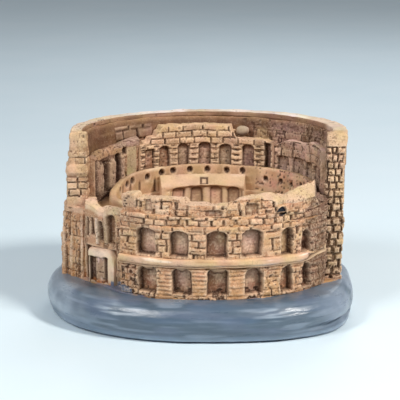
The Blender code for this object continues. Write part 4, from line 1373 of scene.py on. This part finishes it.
def left_terrace():
    """A water-worn, saddle-shaped top over a face with slots, furrows and half-pillars."""
    node = "left_terrace"
    _, flat = levels(node)
    left, bend, right = terrace_front()
    front = polyline(left, bend, right)
    edge = on_oval(FRONT_BACK, np.array([-179.0, -170.0, -160.0, -150.0, -142.0, -136.0]))
    back = polyline((left[0], START_Y + 0.3), *edge)
    dip = skyline(
        (0, 2.6), (0.12, 2.7), (0.22, 2.4), (0.36, 1.6), (0.5, 1.5), (0.62, 2.4), (0.72, 2.8), (1, 3.1),
    )

    def top(a, c):
        return flat + dip(a) - 0.5 * (1 - c) * (1 - c)

    s = wall(front, back, GROUND, top, grid=FINE, thick_grid=0.25, radius=1.5)
    length = float(s.along.max())
    s.colour(s.everywhere, (0.50, 0.275, 0.145), 0.85)
    s.grain(0.28, 0.16, 0.06, seed=1301)
    upper = s.near & (s.z > 23.5)  # above the porch
    flute = noise(s.points / np.array([1.0, 1.0, 9.0]), 1.5, 1302)
    s.height += 0.40 * flute * (s.near & (s.z < 32))
    # The face behind the porch is set back and painted earth brown as painted shade
    behind_porch = s.near & (s.z < 22.4) & (s.along < 0.76 * length)
    s.height -= (1.2 + s.height) * behind_porch
    s.colour(behind_porch, EARTH_AND_SHADE, 0.9)
    s.add_wash_and_shade(0.7 * smooth((-flute - 0.15) / 0.5) * s.near * falling(s.z, 32.0, 1.5))
    s.pits(upper & (s.z < 31.5), 0.55, 0.3, 0.2, seed=1303, dark=0.7)
    # Slots painted near black inside, as painted shade
    slots = ((0.07, 0.4, 25.5, 30.8), (0.20, 0.5, 26.0, 31.0), (0.41, 0.65, 24.8, 30.6))
    for share, half, foot, head in slots:
        s.niche(upper, share * length, half, foot, head, 0.5, 1.3, soft=0.6, inside=(0.11, 0.045, 0.025),
                lit=0.0, dark=1.0)
    light = band(s.along, 0.325 * length, 0.6) * upper * (s.z < 31.4)
    s.height += 0.6 * light
    s.colour(light * (0.85 + 0.15 * noise(s.points, 1.0, 1305)), (0.88, 0.67, 0.52))
    s.wash_and_shade *= 1 - 0.8 * light
    rim = band(s.along, 0.535 * length, 0.75, 1.5) * s.near * (s.z > 24.2)
    s.height += 0.6 * rim
    s.wash_and_shade *= 1 - 0.8 * rim
    s.colour(rim, (0.58, 0.37, 0.22), 0.8)
    # A recess painted dark brown inside, as painted shade
    s.niche(upper, 0.645 * length, 1.15, 24.4, 33.0, 1.0, 1.5, soft=0.8, inside=(0.20, 0.095, 0.048), lit=0.0,
            shade=0.5)
    s.bricks(s.near & (s.along > 0.74 * length), 2.1, 2.6, 0.38, (0.34, 0.22), (0.8, 0.6), seed=44, bold=0.7)
    worn = rising(s.z, flat + dip(s.along / length) - 2.4, 0.9) * s.near
    s.colour(np.maximum(worn, s.top), (0.74, 0.53, 0.34), 0.9)
    s.wash_and_shade *= 1 - np.maximum(worn, s.top * 0.8)
    s.colour(s.near * falling(s.z, GROUND + 3.0, 1.6), RUST, 0.6)
    blue_lap(s, s.near & (s.along > 0.70 * length))
    return s.made(node, "sandstone", ROUGH)


def side_porch():
    """A pale portal: a sagging lintel that turns down into one jamb, with openings painted dark as painted
    shade.
    """
    node = "side_porch"
    left, bend, right = (np.array(p) for p in terrace_front())
    along = (right - bend) / np.linalg.norm(right - bend)
    out = np.array([along[1], -along[0]])
    long, thick = 9.7, 1.5
    start = left + out * 0.2 + along * 2.5
    end = start + along * long
    crown = box(node)[1][2] - 0.8

    def top(a, c):
        return crown + 0.4 * a - 2.6 * np.clip((a - 0.72) / 0.28, 0, 1) ** 2 - 0.4 * (1 - c)

    front = polyline(start + out * thick, end + out * thick)
    back = polyline(start - out * 0.8, end - out * 0.8)
    s = wall(front, back, GROUND, top, grid=FINE, thick_grid=0.3, radius=0.9)
    s.colour(s.everywhere, (0.84, 0.62, 0.43))
    s.grain(0.25, 0.14, 0.04, seed=1401)
    under = crown - 2.8
    pillar = s.near & (s.along > 2.1) & (s.along < 5.6) & (s.z < under)
    s.height -= 0.7 * pillar
    s.colour(pillar, (0.40, 0.235, 0.14), 0.9)
    s.streaks(pillar, (0.80, 0.60, 0.48), 0.9, (1.1, 1.1, 4), seed=1403, threshold=0.0)
    # The openings, painted near black inside as painted shade
    for place, half, head in ((1.1, 1.05, under), (6.3, 0.75, under + 0.2)):
        s.niche(s.near, place, half, 8.0, head, 0.4, 1.5, inside=(0.07, 0.03, 0.018), dark=1.0, lit=0.0)
    s.pits(pillar, 0.6, 0.36, 0.2, seed=1402, dark=0.7)
    s.streaks(s.near & (s.z > under), (0.86, 0.70, 0.53), 0.5, (4, 4, 1), seed=1404)
    outer_jamb = s.near & (s.along > 8.6)
    s.streaks(outer_jamb, ORANGE, 0.6, (1, 1, 4), seed=1405)
    s.colour(s.near * falling(s.z, GROUND + 2.0, 1.4), (0.50, 0.15, 0.03), 0.8)
    blue_lap(s, s.near & (s.along > 8.4))
    return s.made(node, "cream", SMOOTH, soften=2)


# ---- Plinth, foundation and felt ----


def superellipse(left_exponent, right_exponent, angles):
    """A rounded outline that reaches from -1 to 1, with its own exponent for each half."""
    circle = outward(angles)
    exponents = np.where(circle[:, :1] > 0, right_exponent, left_exponent)
    return np.sign(circle) * np.abs(circle) ** (2 / exponents)


def plinth():
    """A pebble of thick enamel: a full shoulder, an undercut foot, and a rim that laps up to the building."""
    low, high = box("plinth")
    half = (high[:2] - low[:2]) / 2
    middle = (high[:2] + low[:2]) / 2 - np.array([0.3, 0.0])
    angles = np.arange(560) * 360 / 560
    pebble = superellipse(2.1, 2.9, angles)
    side = np.cos(np.radians(angles))
    rim = GROUND + 0.25 + 0.15 * side
    right = smooth((side - 0.45) / 0.4)
    profile = (
        (9.0, 0.25), (4.0, 0.25), (2.7, 0.3), (1.9, 0.6), (1.35, 1.2), (1.0, 2.0), (0.75, 2.9), (0.4, 4.0),
        (0.1, 5.1), (0.0, 6.2), (0.1, 7.3), (0.4, 8.4), (0.95, 9.5), (1.6, 10.4), (2.4, 11.1), (3.4, 11.65),
        (4.6, 11.95), (6.0, 12.1), (7.6, 12.1), (10.0, 12.0),
    )
    stops = np.linspace(0, len(profile) - 1, 96)
    insets = np.interp(stops, np.arange(len(profile)), [p[0] for p in profile])
    heights = np.interp(stops, np.arange(len(profile)), [p[1] for p in profile])
    rings = []
    for inset, z in zip(insets, heights):
        neck = 1.7 * np.exp(-((z - 3.3) / 0.9) ** 2) * (inset < 4)
        foot = 0.45 * inset * (z < 2.5 and inset < 4)
        pull = inset + right * (neck - foot)
        plan = pebble * (half - pull[:, None])
        lift = np.where(z > 1, rim / 12.1, 1.0)
        rings.append(np.column_stack([middle + plan, z * lift]))
    rings = np.array(rings)
    s = disc(rings, (14, 80))
    s.height += 0.34 * noise(s.points, 15.0, 1501) + 0.16 * noise(s.points, 6.0, 1502)
    drawn_out = s.points * np.array([0.22, 0.22, 1.0])
    s.height += 0.05 * noise(drawn_out, 1.4, 1503) + 0.03 * noise(drawn_out, 0.7, 1504)
    drip = smooth((s.points[:, 0] - middle[0] - 30) / 10)
    s.height += 0.22 * drip * noise(s.points * np.array([0.5, 0.5, 1]), 1.6, 1505)
    s.height *= rising(s.z, 0.2, 1.0)
    s.paint[:] = SLATE
    s.streaks(s.everywhere, SLATE_PALE, 0.55, (9, 9, 0.9), seed=1506, threshold=0.1)
    s.streaks(s.everywhere, (0.075, 0.125, 0.205), 0.5, (12, 12, 1.8), seed=1507, threshold=0.1)
    s.streaks(s.everywhere, (0.13, 0.165, 0.25), 0.5, (10, 10, 2.2), seed=1508, threshold=0.2)
    ends = smooth((np.abs(s.points[:, 0] - middle[0]) - 30) / 14)
    s.colour(ends * s.blotch(0.75, 5.0, 1509), (0.30, 0.35, 0.43), 0.8)
    # Painted reflection of the pale floor, paler towards the foot
    s.colour(falling(s.z, 3.0, 2.4), (0.29, 0.37, 0.48), 0.7)
    left_end = smooth((middle[0] - 31 - s.points[:, 0]) / 10) * rising(s.z, 3.0, 3.0)
    s.colour(left_end * s.blotch(0.9, 4.0, 1510), (0.36, 0.42, 0.49), 0.75)
    # Painted reflections of the lamps: two places on the front shoulder, paler in brush-mark streaks
    reflection_streaks = rising(noise(s.points / np.array([4.0, 4.0, 0.38]), 1.0, 1511), -0.25, 0.9)
    for sheen_x, wide in ((-24.5, 7.5), (21.5, 6.5)):
        away = np.abs(s.points[:, 0] - sheen_x) / wide + np.abs(s.z - 8.8) / 2.2
        s.colour(falling(away, 1.5, 1.3) * reflection_streaks * (s.points[:, 1] < START_Y), (0.52, 0.60, 0.68), 0.5)
    return s.made("plinth", "glaze", ENAMEL, pale=SLATE_PALE, brush=0.15, soften=2)


def foundation_slab():
    """The brown lip between plinth and building, with plinth paint lapped over much of it."""
    node = "foundation_slab"
    low, high = box(node)
    angles = np.arange(480) * 360 / 480
    rear = grown(rear_oval("outer_wall_first_storey"), 0.3)
    front = grown(FRONT_FACE, 0.75)
    rear_loop = on_oval(rear, angles[angles <= 180])
    first, last = (-42.2, START_Y - 1.0), (high[0] - 0.4, START_Y - 9.0)
    front_loop = on_oval(front, np.linspace(-133.0, -27.0, 160))
    corner = (-36.0, START_Y - 8.6), (-29.7, START_Y - 15.4)
    outline = polyline(*rear_loop, first, *corner, *front_loop, last, rear_loop[0])
    middle = np.array([0.0, START_Y])
    loop = outline(np.arange(960) / 960)
    loop = middle + (loop - middle) * (1 - 0.8 / np.linalg.norm(loop - middle, axis=1, keepdims=True))
    top = GROUND + 0.45
    profile = [(0.9, low[2]), (1.0, low[2]), (1.0, (low[2] + top) / 2), (1.0, top - 0.2), (0.993, top)]
    profile += [(share, top + 0.02) for share in (0.98, 0.96, 0.9, 0.8, 0.5, 0.2)]
    s = disc(np.array([level_loop(loop, share, z, middle) for share, z in profile]), (1, 4))
    s.colour(s.everywhere, (0.46, 0.25, 0.12))
    s.height += 0.16 * noise(s.points, 5.0, 1601) + 0.08 * noise(s.points, 1.5, 1602)
    s.streaks(s.everywhere, RUST, 0.6, (5, 5, 1), seed=1603)
    from_bend = np.hypot(s.points[:, 0] + 24.5, s.points[:, 1] + 22.5)
    lapped = np.maximum(smooth(0.25 + 0.8 * noise(s.points, 2.5, 1604)), falling(from_bend, 9.0, 4.5))
    s.colour(lapped * (s.near | s.top), LAP_BLUE, 0.85)
    return s.made(node, "cream", SMOOTH)


def felt_pad():
    """The dark sheet under the plinth."""
    node = "felt_pad"
    low, high = box(node)
    shares, rounding = (0.25, 0.5, 0.75, 0.99), 0.15
    profile = [(share, low[2]) for share in shares]
    profile += [(1.0, low[2] + rounding), (1.0, high[2] - rounding)]
    profile += [(share, high[2]) for share in reversed(shares)]
    s = round_plate(node, 240, profile, (4, 5))
    s.height += 0.04 * noise(s.points, 1.0, 1701) * s.near
    s.paint[:] = (0.05, 0.05, 0.06)
    return s.made(node, "felt", FELT, brush=0.0)


for build in (
    lower_arcade, string_course, upper_arcade, brick_band, ruined_parapet, arena_bowl, arena_arcade,
    arena_floor, core_block, outer_wall, wall_coping, rear_gallery, left_colonnade, right_gallery,
    fallen_stone, right_quoin, left_pier_upper, left_pier_lower, left_terrace, side_porch, plinth,
    foundation_slab, felt_pad,
):
    build()


# ---- Stage: a plain pale floor, soft light and the camera ----


def build_stage():
    mesh = bpy.data.meshes.new("floor")
    half = 3.0
    corners = [(-half, -half, 0), (half, -half, 0), (half, half, 0), (-half, half, 0)]
    mesh.from_pydata(corners, [], [(0, 1, 2, 3)])
    floor = bpy.data.objects.new("floor", mesh)
    bpy.context.scene.collection.objects.link(floor)
    n = Nodes("pale_floor")
    cloudy = n.ramp(n.noise(60, 2), 0.3, 0.7)
    n.link(n.mix(cloudy, (0.70, 0.82, 0.885), (0.73, 0.84, 0.90)), n.shader.inputs["Base Color"])
    n.shader.inputs["Roughness"].default_value = 0.5
    mesh.materials.append(n.material)


def add_light(name, place_mm, aim_mm, size_mm, watts, colour=(1, 1, 1)):
    light = bpy.data.lights.new(name, "AREA")
    light.shape = "DISK"
    light.size = size_mm * MM
    light.energy = watts
    light.color = colour
    lamp = bpy.data.objects.new(name, light)
    bpy.context.scene.collection.objects.link(lamp)
    lamp.location = Vector(place_mm) * MM
    lamp.rotation_euler = (Vector(aim_mm) - Vector(place_mm)).to_track_quat("-Z", "Y").to_euler()


def build_lights():
    world = bpy.data.worlds.new("studio")
    bpy.context.scene.world = world
    world.use_nodes = True
    background = world.node_tree.nodes["Background"]
    background.inputs["Color"].default_value = (0.88, 0.94, 1.0, 1.0)
    background.inputs["Strength"].default_value = 0.29
    aim = (0, 0, 25)
    add_light("key", (400, -300, 480), aim, 130, 4.0, (1.0, 0.96, 0.90))
    add_light("front_fill", (-330, -330, 450), aim, 200, 1.9, (1.0, 0.985, 0.97))
    add_light("back_rim", (120, 480, 420), aim, 300, 0.8, (0.92, 0.96, 1.0))


def build_camera():
    """Looks down by 14 degrees from 0.45 m away."""
    tilt = math.radians(14.0)
    distance, target = 450.0, Vector((-0.2, START_Y, 33.8))
    camera = bpy.data.cameras.new("camera")
    camera.sensor_width = 36.0
    camera.lens = 134.3
    camera.clip_start = 0.01
    view = bpy.data.objects.new("camera", camera)
    bpy.context.scene.collection.objects.link(view)
    back = Vector((0, -math.cos(tilt), math.sin(tilt)))
    view.location = (target + back * distance) * MM
    view.rotation_euler = (math.pi / 2 - tilt, 0, 0)
    bpy.context.scene.camera = view


build_stage()
build_lights()
build_camera()
bpy.context.scene.view_settings.view_transform = "Standard"
